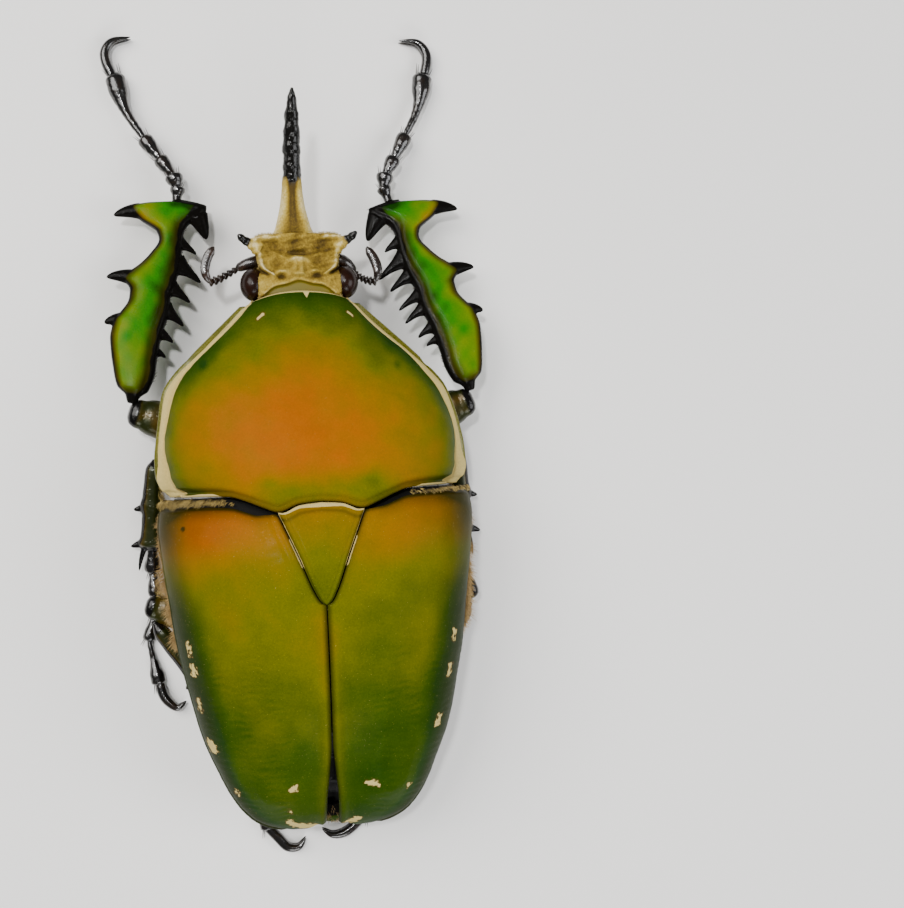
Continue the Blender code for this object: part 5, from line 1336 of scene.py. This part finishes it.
def head_top(x, y):
    """The face: side ridges, hollows, the raised bar behind the horn and the horn's own root."""
    off = x - FACE_MIDDLE
    beside = np.abs(off)
    away = np.abs(x - HEAD_SHIFT)
    t = away / head_outline(y)
    lean = HORN_X + (y - HEAD_FRONT_Y) * 0.05
    ridge = away - carina(y)
    z = head_crown(y) - 0.3 * t ** 2 - 1.3 * step(0.86, 1.0, t) * step(33.6, 32.6, y)
    z = z + 0.75 * hump(ridge, 0, 0.32) * window(y, 28.1, 29.0, 33.0, 33.6)
    z = z - 0.5 * step(0.0, 0.8, ridge) * window(y, 28.4, 29.4, 30.2, 30.8)
    z = z - 0.8 * hump(ridge, 0.5, 0.24) * window(y, 28.6, 29.1, 30.1, 30.7)
    z = z - 0.85 * dome(beside, y, 2.9, 32.0, 1.2, 0.8)
    z = z + 0.3 * hump(away, 4.2 - 1.35 * (32.6 - y), 0.4) * window(y, 30.4, 31.0, 32.4, 33.0)
    z = z + 0.45 * hump(y, 33.15 + 0.12 * ripple(x, y, 1.3, 90), 0.26) * step(1.8, 2.8, away)
    z = z - 0.5 * dome(beside, y, 2.5, 30.1, 0.9, 0.7)
    z = z + 0.95 * hump(x, lean, 1.35) * step(31.9, 33.6, y)
    z = z - 0.5 * hump(x, lean, 0.75) * step(31.6, 32.6, y)
    z = z + 0.75 * hump(y, 30.7 - 0.25 * off ** 2, 0.3) * hump(off, 0, 1.25)
    z = z + 0.5 * step(0.85, 0.45, beside) * window(y, 28.4, 28.8, 30.4, 30.8)
    z = z - 0.28 * dome(off, y, 0, 29.5, 0.13, 0.6)
    z = z - 0.85 * dome(off, y, 0, 31.35, 1.05, 0.34)
    z = z + 0.5 * dome(beside, y, 1.75, 29.15, 0.55, 0.24)
    z = z - 0.14 * hump(y, 32.65 + 0.2 * ripple(x, y, 1.6, 97), 0.12) * step(1.8, 2.8, away)
    z = z - 0.65 * dome(beside, y, 2.05, 28.58, 0.5, 0.27)
    z = z + 0.3 * dome(off, y, 0, 28.8, 1.3, 0.4)
    z = z - 0.45 * step(0.1, -0.3, y - nape(off))
    return z + step(-0.2, 0.1, y - nape(off)) * (0.1 * ripple(x, y, 1.5, 91) + 0.06 * ripple(x, y, 0.6, 92))


def nape(off):
    """The wavy line where the velvet ends and the smooth back of the head starts."""
    return 28.05 - 0.085 * off ** 2 + 0.1 * np.cos(2.2 * off)


def head(rows=170, columns=150):
    """The head with its hollow face and a black spike at each front corner."""
    level = np.linspace(HEAD_REAR_Y, HEAD_FRONT_Y, rows)[:, None]
    t = np.sin(np.linspace(-math.pi / 2, math.pi / 2, columns))[None]
    x = HEAD_SHIFT + head_outline(level) * t
    y = level + 0 * x
    top = vectors(x, y, head_top(x, y))
    edge = 0.55 * head_crown(level) + 0.45 * head_floor(level)
    low = edge - (edge - head_floor(level)) * np.sqrt(np.clip(1 - t * t, 0, 1))
    bottom = vectors(x, y, low)[:, ::-1]
    right = 0.5 * (top[:, -1:] + bottom[:, :1])
    left = 0.5 * (top[:, :1] + bottom[:, -1:])
    shapes = [tube_shape(np.concatenate([top, right, bottom, left], axis=1))]
    for sign in (-1, 1):
        path = flow([(HEAD_SHIFT + sign * px, py, pz) for px, py, pz in SPIKE_PATH], 24)
        radii = profile(SPIKE_RADII, 24) * (1 + 0.08 * np.sin(np.arange(24) * 1.1 + sign))
        shapes.append(tube_shape(rings_along(path, radii, 0.8 * radii, 20)))
    piece = fuse("head_skin", shapes, PAINTS["head"], *HEAD_SKIN)
    points = points_of(piece)
    px, py, pz = points.T
    off = np.abs(px - HEAD_SHIFT)
    t = off / head_outline(py)
    edge = py - nape(px - FACE_MIDDLE)
    spikes = 1.1 * (off - 5.2) - 0.5 * (33.1 - py) ** 2 * (py < 33.1)
    black = np.maximum(spikes, 7.2 - pz)
    store(piece.data, "tone", np.clip(head_tone(px, py, pz, off, t, edge), 0, 1))
    store(piece.data, "black", black)
    store(piece.data, "bare", step(0.0, -0.15, edge) * step(0.82, 0.7, t) * (pz > 11))
    dress(piece, "head_shell", "head")
    normals = normals_of(piece)
    draw = np.random.default_rng(93)
    pick = np.flatnonzero((black < -0.4) & (pz > 9.0) & (t > 0.86))
    pick = draw.choice(pick, size=min(TUFTS["head"], len(pick)), replace=False)
    px, py = px[pick], py[pick]
    unwrap = np.stack([0.05 + 0.9 * (py - HEAD_REAR_Y) / 8.2, 0.5 + 0.08 * (px - HEAD_SHIFT)], -1)
    lies = vectors(0.2 * (px - HEAD_SHIFT), 1.0, 0.0)
    tufts("head_velvet_hair", "head", points[pick], normals[pick], lies, 0.32, unwrap)


def head_tone(x, y, z, off, t, edge):
    """The velvet's tone: paler at the sides, along the nape line and on ridges and bars, darker in the
    hollows, and lighter on the left side. Light and shade are painted by height, with painted shade in the
    hollows, grooves and pits and low down, and painted light on the raised ridges and bars besides their own
    paler colour.
    """
    relief = np.clip((z - head_crown(y)) / 0.7, -1, 1)
    patchy = ripple(x, y, 0.9, 98)
    ridge = hump(off, carina(y), 0.26) * window(y, 28.3, 29.0, 32.8, 33.4)
    tone = 0.37 + 0.15 * step(0.45, 0.85, t) + 0.1 * step(0.2, 2.5, HEAD_SHIFT - x) + 0.26 * relief
    tone = tone + (0.28 + 0.14 * patchy) * ridge + 0.09 * patchy
    tone = tone - 0.42 * dome(x, y, FACE_MIDDLE, 31.32, 1.15, 0.3)
    tone = tone + 0.28 * dome(x, y, FACE_MIDDLE, 30.6 - 0.25 * (x - FACE_MIDDLE) ** 2, 1.1, 0.34)
    tone = tone - 0.22 * hump(x, FACE_MIDDLE, 0.95) * step(31.6, 33.0, y)
    tone = tone - 0.55 * hump(off, carina(y) + 0.5, 0.26) * window(y, 28.6, 29.1, 30.1, 30.8)
    lips = (0.26 * hump(y, 33.15, 0.22) - 0.2 * hump(y, 32.68, 0.16)) * (1 + patchy)
    tone = tone + lips * step(1.8, 2.8, off)
    tone = tone - 0.4 * dome(off, y, 2.05, 28.55, 0.55, 0.26) + 0.2 * dome(off, y, 1.75, 29.15, 0.6, 0.22)
    return tone - 0.35 * step(9.8, 8.6, z) + 0.3 * hump(edge, 0.05, 0.16) * (t < 0.8)


def rim_hair():
    """Golden hairs combed out over the head's front edge, on both sides of the horn."""
    draw = np.random.default_rng(95)
    count = TUFTS["head_rim"]
    away = np.where(draw.uniform(0, 1, count) < 0.5, -1.0, 1.0) * draw.uniform(1.7, 4.9, count)
    x = HEAD_SHIFT + away
    y = 33.35 - 0.5 * draw.uniform(0, 1, count) ** 2 - 0.5 * step(4.2, 4.9, np.abs(away))
    roots = vectors(x, y, head_top(x, y) - 0.12)
    normals = np.tile([0.0, 0.35, 0.93], (count, 1))
    lies = vectors(0.12 * away, 1.0, -0.4)
    unwrap = np.stack([0.5 + 0.09 * away, 0.94 + 0 * y], -1)
    tufts("head_rim_hair", "head_rim", roots, normals, lies, 0.5, unwrap)


def horn(rows=220, sides=56):
    """The horn: pale ridged sides and a brown middle, then glossy black to its tip."""
    y = np.linspace(HORN_PATH[0][0], HORN_PATH[-1][0], rows)
    height, half_width, half_thickness = [curve(y) for curve in columns_of(HORN_PATH)]
    path = vectors(HORN_X + 0.0018 * np.maximum(y - 34, 0) ** 2, y, height)
    rings = rings_along(path, half_width, half_thickness, sides)
    turn = turns(sides)[None]
    pale = step(HORN_BLACK_Y + 0.6, HORN_BLACK_Y - 1.5, y)[:, None]
    top = np.clip(np.sin(turn), 0, 1)
    sink = -0.36 * hump(np.cos(turn), 0.0, 0.5) * top * pale * (half_width[:, None] / 2)
    ridge = (0.14 * hump(np.abs(np.cos(turn)), 0.74, 0.14) + 0.16 * hump(np.cos(turn), 0, 0.09)) * top * pale
    lumps = 0.07 * ripple(rings[..., 0] + 0.5 * turn, rings[..., 1], 1.3, 96)
    lumps = (lumps + 0.03 * ripple(rings[..., 0] + 0.7 * turn, rings[..., 1], 0.6, 89)) * (1 - pale)
    rings = swelled(rings, path, sink + ridge + lumps)
    shape = tube_shape(rings)
    breadth = 0.8 - 0.3 * step(33.5, 38.0, y)[:, None]
    middle = np.exp(-((np.cos(turn) / breadth) ** 4)) * top
    lines = hump(np.abs(np.cos(turn)), 0.2, 0.1) * top * step(33.6, 36.0, y)[:, None]
    # The brown middle and its lines are colour; the underside is darker as painted shade.
    tone = 0.95 - 0.82 * middle - 0.22 * lines - 0.3 * step(-0.2, -0.9, np.sin(turn)) + 0 * rings[..., 0]
    tone = tone - 0.35 * step(HORN_BLACK_Y - 2.2, HORN_BLACK_Y, y)[:, None]
    black = 0.8 * (y[:, None] - HORN_BLACK_Y + 0.5 * middle) + 0 * rings[..., 0]
    marks = {"tone": with_ends(tone, 0.5, 0.5), "black": with_ends(black, -3.0, 3.0), "bare": 0.0}
    dress(make_piece("head_horn", shape, PAINTS["head"], marks), "horn", "horn")


def eye(side, rings=90, sides=120):
    """One oval compound eye."""
    sign = 1 if side == "r" else -1
    centre = vectors(HEAD_SHIFT + sign * EYE_CENTRE[0], EYE_CENTRE[1], EYE_CENTRE[2])
    polar = np.linspace(0.02, math.pi - 0.02, rings)[:, None]
    turn = turns(sides)[None]
    ball = vectors(sign * np.cos(polar), np.sin(polar) * np.cos(turn), np.sin(polar) * np.sin(turn))
    shape = tube_shape(centre + ball * np.array(EYE_RADII))
    dress(make_piece("eye_ball_" + side, shape, PAINTS["eye"]), "eyes", "eye_" + side)


def antenna(side):
    """Scape, six beads and a club of three leaves."""
    scape = flow(ANTENNAE[side]["scape"], 40)
    size = profile(SCAPE_RADII, 40)
    shapes = [tube_shape(rings_along(scape, size, 0.9 * size, 24))]
    line = flow(ANTENNAE[side]["funicle"], 20 * FEELER_BEADS + 1)
    for i in range(FEELER_BEADS):
        size = (0.42 + 0.03 * i) * profile(BEAD_SECTIONS, 21)
        shapes.append(tube_shape(rings_along(line[i * 20:i * 20 + 21], size, size, 20)))
    club = flow(ANTENNAE[side]["club"], 50)
    opening = np.minimum(4 * np.linspace(0, 1, 50), 1)
    wide = profile(LEAF_WIDTH, 50)
    for leaf in (-1, 0, 1):
        path = club + vectors(0.0, 0.03 * leaf, 0.4 * leaf * opening)
        shapes.append(tube_shape(rings_along(path, wide, 0.34 * wide + 0.03, 24)))
    dress(make_piece("feeler_" + side, merge_shapes(shapes), PAINTS["feeler"]), "feelers", "antenna_" + side)


def mouthparts():
    """Mentum, jaws' lobes, and the palps; a golden brush shows between them."""
    middle = np.array([HEAD_SHIFT, 0.0, 0.0])
    path = flow(MENTUM_PATH, 60) + middle
    shapes = [tube_shape(rings_along(path, profile(MENTUM_WIDTH, 60), profile(MENTUM_HEIGHT, 60), 40))]
    for mirror in (MIRROR, 1.0):
        beads = np.abs(np.sin(3 * math.pi * np.linspace(0, 1, 60))) ** 0.6
        size = 0.4 * (0.62 + 0.38 * beads)
        size[-4:] *= (0.9, 0.7, 0.45, 0.2)
        shapes.append(tube_shape(rings_along(flow(LONG_PALP, 60) * mirror + middle, size, size, 18)))
        beads = np.abs(np.sin(2 * math.pi * np.linspace(0, 1, 40))) ** 0.6
        size = 0.27 * (0.62 + 0.38 * beads)
        shapes.append(tube_shape(rings_along(flow(SHORT_PALP, 40) * mirror + middle, size, size, 16)))
    dress(make_piece("mouth_parts", merge_shapes(shapes), PAINTS["feeler"]), "feelers", "mouthparts")
    draw = np.random.default_rng(97)
    count = TUFTS["mouth"]
    off = draw.uniform(-2.2, 2.2, count)
    y = draw.uniform(30.8, 31.8, count)
    roots = vectors(HEAD_SHIFT + off, y, draw.uniform(7.0, 7.8, count))
    normals = unit(vectors(0.2 * off, 1.0, -0.6))
    lies = np.tile([0.0, 0.5, -1.0], (count, 1))
    unwrap = np.stack([0.1 + 0.18 * (off + 2.2), 0.1 + 0.8 * (y - 30.8)], -1)
    tufts("mouth_brush", "mouth", roots, normals, lies, 1.2, unwrap)


def coxa(leg):
    """A hip: a short rounded barrel."""
    start, end = np.array(LEGS[leg]["coxa"])
    radius = LEGS[leg]["coxa_radius"]
    t = np.linspace(0, 1, 60)
    path = start + (end - start) * (t[:, None] * 1.14 - 0.1)
    size = radius * profile(COXA_SECTIONS, 60)
    rings = rings_along(path, size, 0.97 * size, 44)
    shape = tube_shape(swelled(rings, path, 0.05 * ripple(rings[..., 0], rings[..., 1], 1.6, 101)))
    marks = no_marks({"tone": 0.35, "dark": 0.2})
    dress(make_piece("coxa_" + leg + "_shell", shape, PAINTS["leg"], marks), "leg_shell", "coxa_" + leg)


def femur(leg, rows=120, sides=56):
    """A swollen thigh with a blunt ridge, a black knee and a fringe behind."""
    width, thickness = LEGS[leg]["femur_size"]
    t = np.linspace(0, 1, rows)
    path = flow(LEGS[leg]["femur"], rows)
    size = profile(FEMUR_SECTIONS, rows)
    rings = rings_along(path, width * size, thickness * size, sides, square=0.85)
    turn = turns(sides)[None]
    lift = 0.12 * hump(np.sin(turn), 0.75, 0.2) * hump(t[:, None], 0.5, 0.35)
    lift = lift - 0.18 * hump(t[:, None], 0.9, 0.03) + 0.012 * ripple(rings[..., 0], rings[..., 1], 1.5, 103)
    outward = unit(rings - path[:, None])
    rings = rings + outward * (lift * size[:, None])[..., None]
    rings[..., 2] = np.maximum(rings[..., 2], LEG_GAP)
    shape = tube_shape(rings)
    tone = 0.3 + 0.4 * hump(t[:, None], 0.78, 0.22) * np.clip(np.sin(turn), 0, 1)
    tone = tone + 0.25 * ripple(rings[..., 0], rings[..., 1], 2.2, 104)
    black = 9 * (t[:, None] - 0.94) + 0 * tone
    marks = no_marks({"tone": with_ends(tone, 0.3, 0.3), "dark": 0.1, "black": with_ends(black, -1.0, 1.0)})
    dress(make_piece("femur_" + leg + "_shell", shape, PAINTS["leg"], marks), "leg_shell", "femur_" + leg)
    if leg.startswith("fore"):
        return
    rear = hump(np.cos(turn), 1.0 if leg.endswith("l") else -1.0, 0.35)
    weight = (rear + 0.03) * window(t, 0.0, 0.12, 0.85, 0.93)[:, None]
    roots, out, unwrap = scatter(rings, outward, weight + 1e-9, TUFTS["femur"], 105)
    lies = np.tile((path[-1] - path[0]) * 0.05 + np.array([0.0, -1.0, -0.2]), (len(roots), 1))
    tufts("femur_fringe_" + leg, "femur", roots, out, lies, 1.3, unwrap)


def tooth_shape(root, tip, half_width, upward, hook, flare=0.0):
    """A flat thorn, broad at its root, with hollow edges and a tip bent by hook."""
    root = np.asarray(root, float)
    tip = np.asarray(tip, float)
    t = np.linspace(0, 1, 22)
    middle = root + (tip - root) * 0.55 - hook
    path = ((1 - t) ** 2)[:, None] * root + (2 * t * (1 - t))[:, None] * middle + (t ** 2)[:, None] * tip
    ahead = unit(np.gradient(path, axis=0))
    across = unit(np.cross(ahead, upward))
    rise = np.cross(across, ahead)
    wide = half_width * (0.8 * (1 - t) ** 0.58 + flare * (1 - t) ** 4) + 0.06
    high = np.minimum(0.55 * half_width + 0.1, 0.75) * (1 - t) ** 0.7 + 0.05
    turn = turns(TOOTH_SIDES)
    rings = (path[:, None] + across[:, None] * (wide[:, None] * np.cos(turn))[..., None]
             + rise[:, None] * (high[:, None] * np.sin(turn))[..., None])
    return tube_shape(rings)


def blade_rings(place, upward, s, outer, inner, half, sides=72):
    """Rings of a flat leg piece with a ridge along it and thickened edges."""
    turn = turns(sides)
    wide = np.sign(np.cos(turn)) * np.abs(np.cos(turn)) ** 0.8
    high = np.sign(np.sin(turn)) * np.abs(np.sin(turn)) ** 0.85
    middle = (outer + inner) / 2
    offset = middle[:, None] + ((outer - inner) / 2)[:, None] * wide
    height = half[:, None] * high
    grooves = 0.16 * hump(wide, -0.66, 0.14) + 0.06 * hump(wide, 0.8, 0.1)
    height = height - half[:, None] * (high > 0) * grooves
    return place(s[:, None], offset) + upward * height[..., None]


def tibia_frame(leg):
    """A tibia's knee, length, directions ahead, outward and upward, and a function that places points."""
    knee, end = np.array(LEGS[leg]["tibia"])
    sign = 1 if leg.endswith("r") else -1
    length = np.linalg.norm(end - knee)
    ahead = unit(end - knee)
    outward = unit(sign * vectors(abs(ahead[1]), -ahead[0] * np.sign(ahead[1]), 0.0))
    upward = np.cross(ahead, outward)
    upward = upward * np.sign(upward[2])

    def place(share, offset):
        share = np.asarray(share, float)
        offset = np.asarray(offset, float)
        return knee + ahead * (share * length)[..., None] + outward * offset[..., None]

    return knee, length, ahead, outward, upward, place


def mark(piece, values):
    """Stores the paints' numbers on a finished piece."""
    for key, numbers in no_marks(values).items():
        store(piece.data, key, numbers)


def fore_tibia(leg):
    """The flat fore tibia: bright green, with dark toothed edges."""
    side = leg[-1]
    knee, length, ahead, outward, upward, place = tibia_frame(leg)
    reach = FORE_TIBIA[-1][0]
    outer, inner, half = columns_of(FORE_TIBIA)
    s = np.linspace(-0.9, reach, 150)
    end_width = np.sqrt(np.clip((s + 1.3) / 2.1, 0.12, 1.0))
    middle = (outer(s) + inner(s)) / 2
    knee_part = step(3.0, 1.0, s)
    out = middle + (np.maximum(outer(s), 1.4 * knee_part) - middle) * end_width
    into = middle + (np.minimum(inner(s), -0.7 * knee_part) - middle) * end_width
    shapes = [tube_shape(blade_rings(place, upward, s / reach, out, into, half(s) * end_width))]
    for root_s, tip_s, tip_offset, half_width in FORE_OUTER_TEETH:
        root = place(root_s / reach, outer(root_s) - 0.9)
        tip = place(tip_s / reach, tip_offset) + upward * 0.1
        shapes.append(tooth_shape(root, tip, half_width, upward, -ahead * 0.35))
    for root_s, tip_s, tip_offset, half_width in FORE_INNER_TEETH[side]:
        root = place(root_s / reach, inner(root_s) + 0.3)
        tip = place(tip_s / reach, tip_offset) - upward * 0.15
        flare = 0.95 if root_s < 22 else 0.1
        shapes.append(tooth_shape(root, tip, half_width, upward, -ahead * 0.3, flare))
    piece = fuse("fore_tibia_" + side, shapes, PAINTS["tibia"], *FORE_TIBIA_SKIN)
    points = points_of(piece)
    along_leg = (points - knee) @ ahead * reach / length
    offset = (points - knee) @ outward
    depth_out = outer(along_leg) - offset
    depth_in = offset - inner(along_leg)
    scallop = 0.12 * ripple(along_leg, 0 * along_leg, 2.4, 107)
    inner_black = 0.66 + scallop + 0.9 * hump(along_leg, 24.3, 1.8) - depth_in
    black = np.maximum.reduce([0.3 + scallop - depth_out, inner_black, 0.2 - along_leg, along_leg - 24.3])
    across = np.clip(depth_in / (depth_in + depth_out), 0, 1)
    green_line = 0.3 + 0.25 * step(11, 4, along_leg)
    tone = 0.26 + 0.42 * step(0.12, 0.6, np.abs(across - green_line)) * (across > green_line)
    tone = tone + 0.3 * step(10, 4, along_leg) + 0.25 * hump(along_leg, 21.5, 1.2)
    tone = tone - 0.45 * step(23.2, 24.4, along_leg) + 0.1 * ripple(points[:, 0], points[:, 1], 2.2, 108)
    brown = 1.1 + 0.6 * hump(along_leg, 14.0, 2.5)
    dark = np.maximum(step(brown, 0.25, depth_out), step(2.3, 0.7, depth_in))
    dark = np.maximum(dark, step(1.6, 0.2, along_leg))
    mark(piece, {"tone": tone, "black": black, "dark": 0.93 * dark})
    dress(piece, "fore_leg_shell", "tibia_" + leg)
    draw = np.random.default_rng(111)
    normals = normals_of(piece)
    pick = np.flatnonzero((depth_in < 1.6) & (depth_in > 0.1) & (normals @ upward < -0.3) & (along_leg > 2))
    pick = draw.choice(pick, size=TUFTS["fore_tibia"], replace=False)
    unwrap = np.stack([0.05 + 0.9 * np.clip(along_leg[pick] / 26, 0, 1), 0.5 + 0.1 * offset[pick]], -1)
    lies = np.tile(ahead * 0.6 - outward, (len(pick), 1))
    tufts("fore_tibia_fringe_" + side, "fore_tibia", points[pick], normals[pick], lies, 0.6, unwrap)


def walking_tibia(leg):
    """A middle or hind tibia, with outer teeth, two spurs and a fringe inside."""
    knee, length, ahead, outward, upward, place = tibia_frame(leg)
    wide, half = columns_of(WALKING_TIBIA)
    s = np.linspace(-0.02, 1.02, 110)
    round_end = np.sqrt(np.clip(np.minimum((s + 0.05) / 0.14, (1.05 - s) / 0.11), 0.12, 1.0))
    bow = 0.22 * np.sin(math.pi * np.clip(s, 0, 1))
    breadth = wide(s) * round_end
    rings = blade_rings(place, upward, s, bow + breadth, bow - breadth, half(s) * round_end, sides=60)
    rings = swelled(rings, place(s, bow), 0.02 * ripple(rings[..., 0], rings[..., 1], 2.4, 123))
    shapes = [tube_shape(rings)]
    for root, root_offset, tip, tip_offset in WALKING_TEETH:
        root = place(root, root_offset)
        shapes.append(tooth_shape(root, place(tip, tip_offset), 0.85, upward, ahead * -0.2))
    for offset, reach in SPURS:
        tip = place(1.0, offset * SPUR_SPREAD) + ahead * reach
        tip[2] = max(tip[2], 0.4)
        shapes.append(tooth_shape(place(SPUR_ROOT, offset), tip, 0.42, upward, outward * offset * -0.4))
    piece = fuse(leg + "_tibia_skin", shapes, PAINTS["leg"], *WALKING_TIBIA_SKIN)
    points = points_of(piece)
    share = (points - knee) @ ahead / length
    offset = (points - knee) @ outward
    edges = 0.25 - (wide(share) - np.abs(offset))
    black = np.maximum.reduce([edges, 12 * (share - 0.97), 6 * (0.06 - share)])
    mark(piece, {"tone": 0.3 + 0.45 * step(0.2, 0.9, offset / wide(share)), "black": black, "dark": 0.15})
    dress(piece, "leg_shell", "tibia_" + leg)
    draw = np.random.default_rng(121)
    normals = normals_of(piece)
    pick = np.flatnonzero((offset < -0.55 * wide(share)) & (share > 0.12) & (share < 0.95))
    pick = draw.choice(pick, size=TUFTS["walking_tibia"], replace=False)
    unwrap = np.stack([0.05 + 0.9 * share[pick], 0.5 + 0.1 * offset[pick]], -1)
    lies = np.tile(ahead - outward * 0.6, (len(pick), 1))
    tufts(leg + "_tibia_fringe", "walking_tibia", points[pick], normals[pick], lies, 1.35, unwrap)


def claws(places, height):
    """Two hooked claws through the same places, one ending above the other."""
    shapes = []
    size = profile(CLAW_SECTIONS, 60)
    share = np.linspace(0, 1, len(places))
    for tip_height in CLAW_TIPS:
        line = flow(np.column_stack([places, height * (1 - share) + tip_height * share]), 60)
        shapes.append(tube_shape(rings_along(line, size, 0.9 * size, 22)))
    return shapes


def tarsus(leg):
    """Five beads widening to their ends, small bristles, and a pair of hooked claws."""
    joints = np.array(LEGS[leg]["tarsus"])
    radii = LEGS[leg]["toe_radii"]
    bow = np.array([*LEGS[leg].get("bow", (0.0, 0.0)), 0.0])
    t = np.linspace(0, 1, 44)
    shapes = []
    bristles = []
    for i, (start, end, radius) in enumerate(zip(joints, joints[1:], radii)):
        first = i == 0
        last = i == len(radii) - 1
        sections = FIRST_TOE_SECTIONS if first else LAST_TOE_SECTIONS if last else TOE_SECTIONS
        ahead = unit(end - start)
        reach = 0.0 if last else TOE_LAP
        back = 1.0 if first else reach
        path = start + np.outer(t * (np.linalg.norm(end - start) + back + reach) - back, ahead)
        if last:
            path = path + np.outer(np.sin(math.pi * t) ** 1.2, bow)
        size = 1.06 * radius * profile(sections, 44)
        rings = rings_along(path, size, 0.92 * size, 24)
        lumps = 0.03 * ripple(rings[..., 0] * 2, rings[..., 1] + rings[..., 2], 0.8, 130 + i)
        rings = swelled(rings, path, lumps)
        rings[..., 2] = np.maximum(rings[..., 2], FOOT_GAP)
        shapes.append(tube_shape(rings))
        across = unit(np.cross(ahead, UP))
        for turn in BRISTLE_TURNS:
            root = end + across * radius * 0.75 * math.sin(turn) - UP * 0.45 * radius * math.cos(turn)
            tip = root + ahead * (0.85 * radius + 0.25) + across * 0.35 * math.sin(turn)
            bristles.append((root - ahead * 0.2, tip))
    for root, tip in bristles:
        root[2] = max(root[2], 0.12)
        tip[2] = max(tip[2], 0.08)
        size = np.linspace(0.075, 0.015, 8)
        path = flow([root, (root + tip) / 2 + 0.04 * UP, tip], 8)
        shapes.append(tube_shape(rings_along(path, size, size, 7)))
    places = LEGS[leg]["claw"]
    shapes += claws(places, joints[-1][2])
    mid = np.array([*places[1], joints[-1][2] * 0.75 + 0.2])
    size = np.linspace(0.14, 0.08, 14)
    stalk = flow([joints[-1], 0.5 * (joints[-1] + mid), mid], 14)
    shapes.append(tube_shape(rings_along(stalk, size, size, 10)))
    dress(make_piece("foot_" + leg, merge_shapes(shapes), PAINTS["black"]), "feet", "tarsus_" + leg)


def base_fringe():
    """Golden hairs that stand in the groove between the pronotum and the wing cases."""
    draw = np.random.default_rng(141)
    count = TUFTS["base"]
    side = np.where(draw.uniform(0, 1, count) < 0.7, -1.0, 1.0)
    x = side * (17.0 - 11.5 * draw.uniform(0, 1, count) ** 1.7)
    crowd = 0.6 * ripple(x, 0 * x, 0.9, 143) + 1.9 * step(8.0, 12.0, np.abs(x)) - 0.8
    kept = crowd > draw.uniform(-0.3, 1.2, count)
    x, side = x[kept], side[kept]
    count = len(x)
    depth = draw.uniform(0, 1, count)
    y = base_line(np.abs(x)) - BASE_GROOVE - 0.15 - 0.4 * depth
    z = wing_height(x * 0.985, y - 0.5) - 0.2 - 0.7 * depth
    roots = vectors(x, y, z)
    normals = unit(vectors(0.8 * x / 17, 0.5, 1.2 - np.abs(x) / 17))
    lies = vectors(0.3 * side + 0.4 * ripple(x, 0 * x, 1.5, 144), -1.0, -0.15)
    unwrap = np.stack([0.5 + x / 40, 0.3 + 0.1 * depth], -1)
    reach = (0.45 + 0.65 * step(9.0, 12.5, np.abs(x))) * (1 - 0.45 * (side > 0))
    reach = reach * (1 + 0.3 * ripple(x, 0 * x, 1.1, 145))
    tufts("base_fringe", "base", roots, normals, lies, reach, unwrap)


def camera():
    """The photograph's camera."""
    data = bpy.data.cameras.new("photo_camera")
    data.sensor_width = SENSOR
    data.lens = SENSOR * FOCAL_PIXELS / IMAGE_HEIGHT
    data.clip_start = 0.01
    data.clip_end = 10.0
    made = bpy.data.objects.new("photo_camera", data)
    made.location = [value * MM for value in CAMERA_PLACE]
    made.rotation_euler = Euler([math.radians(value) for value in CAMERA_ANGLES])
    bpy.context.scene.collection.objects.link(made)
    bpy.context.scene.camera = made


def area_light(name, place, aim, size, power, colour):
    """A soft square light, placed and aimed in millimetres."""
    data = bpy.data.lights.new(name, "AREA")
    data.shape = "RECTANGLE"
    data.size, data.size_y = [value * MM for value in size]
    data.energy = power
    data.color = colour
    made = bpy.data.objects.new(name, data)
    made.location = [value * MM for value in place]
    direction = made.location.copy()
    for axis in range(3):
        direction[axis] = aim[axis] * MM - direction[axis]
    made.rotation_euler = direction.to_track_quat("-Z", "Y").to_euler()
    bpy.context.scene.collection.objects.link(made)


def studio():
    """A pale floor and soft lights."""
    corners = FLOOR_HALF * np.array([(-1.0, -1.0, 0.0), (1.0, -1.0, 0.0), (1.0, 1.0, 0.0), (-1.0, 1.0, 0.0)])
    shape = (corners, [np.array([[0, 1, 2, 3]])])
    make_piece("studio_floor", shape, plain_stage_paint(), turn_out=False)
    world = bpy.data.worlds.new("studio")
    world.use_nodes = True
    world.node_tree.nodes["Background"].inputs["Color"].default_value = WORLD_COLOUR
    world.node_tree.nodes["Background"].inputs["Strength"].default_value = WORLD_STRENGTH
    bpy.context.scene.world = world
    for light in STUDIO_LIGHTS:
        area_light(*light)


def build():
    """Every piece of the beetle, with its camera and studio."""
    make_paints()
    camera()
    studio()
    pronotum()
    scutellum()
    prosternum()
    thorax()
    abdomen()
    pygidium()
    head()
    rim_hair()
    horn()
    mouthparts()
    for side in ("l", "r"):
        elytron(side)
        eye(side)
        antenna(side)
    for leg in LEGS:
        coxa(leg)
        femur(leg)
        if leg.startswith("fore"):
            fore_tibia(leg)
        else:
            walking_tibia(leg)
        tarsus(leg)
    base_fringe()


build()
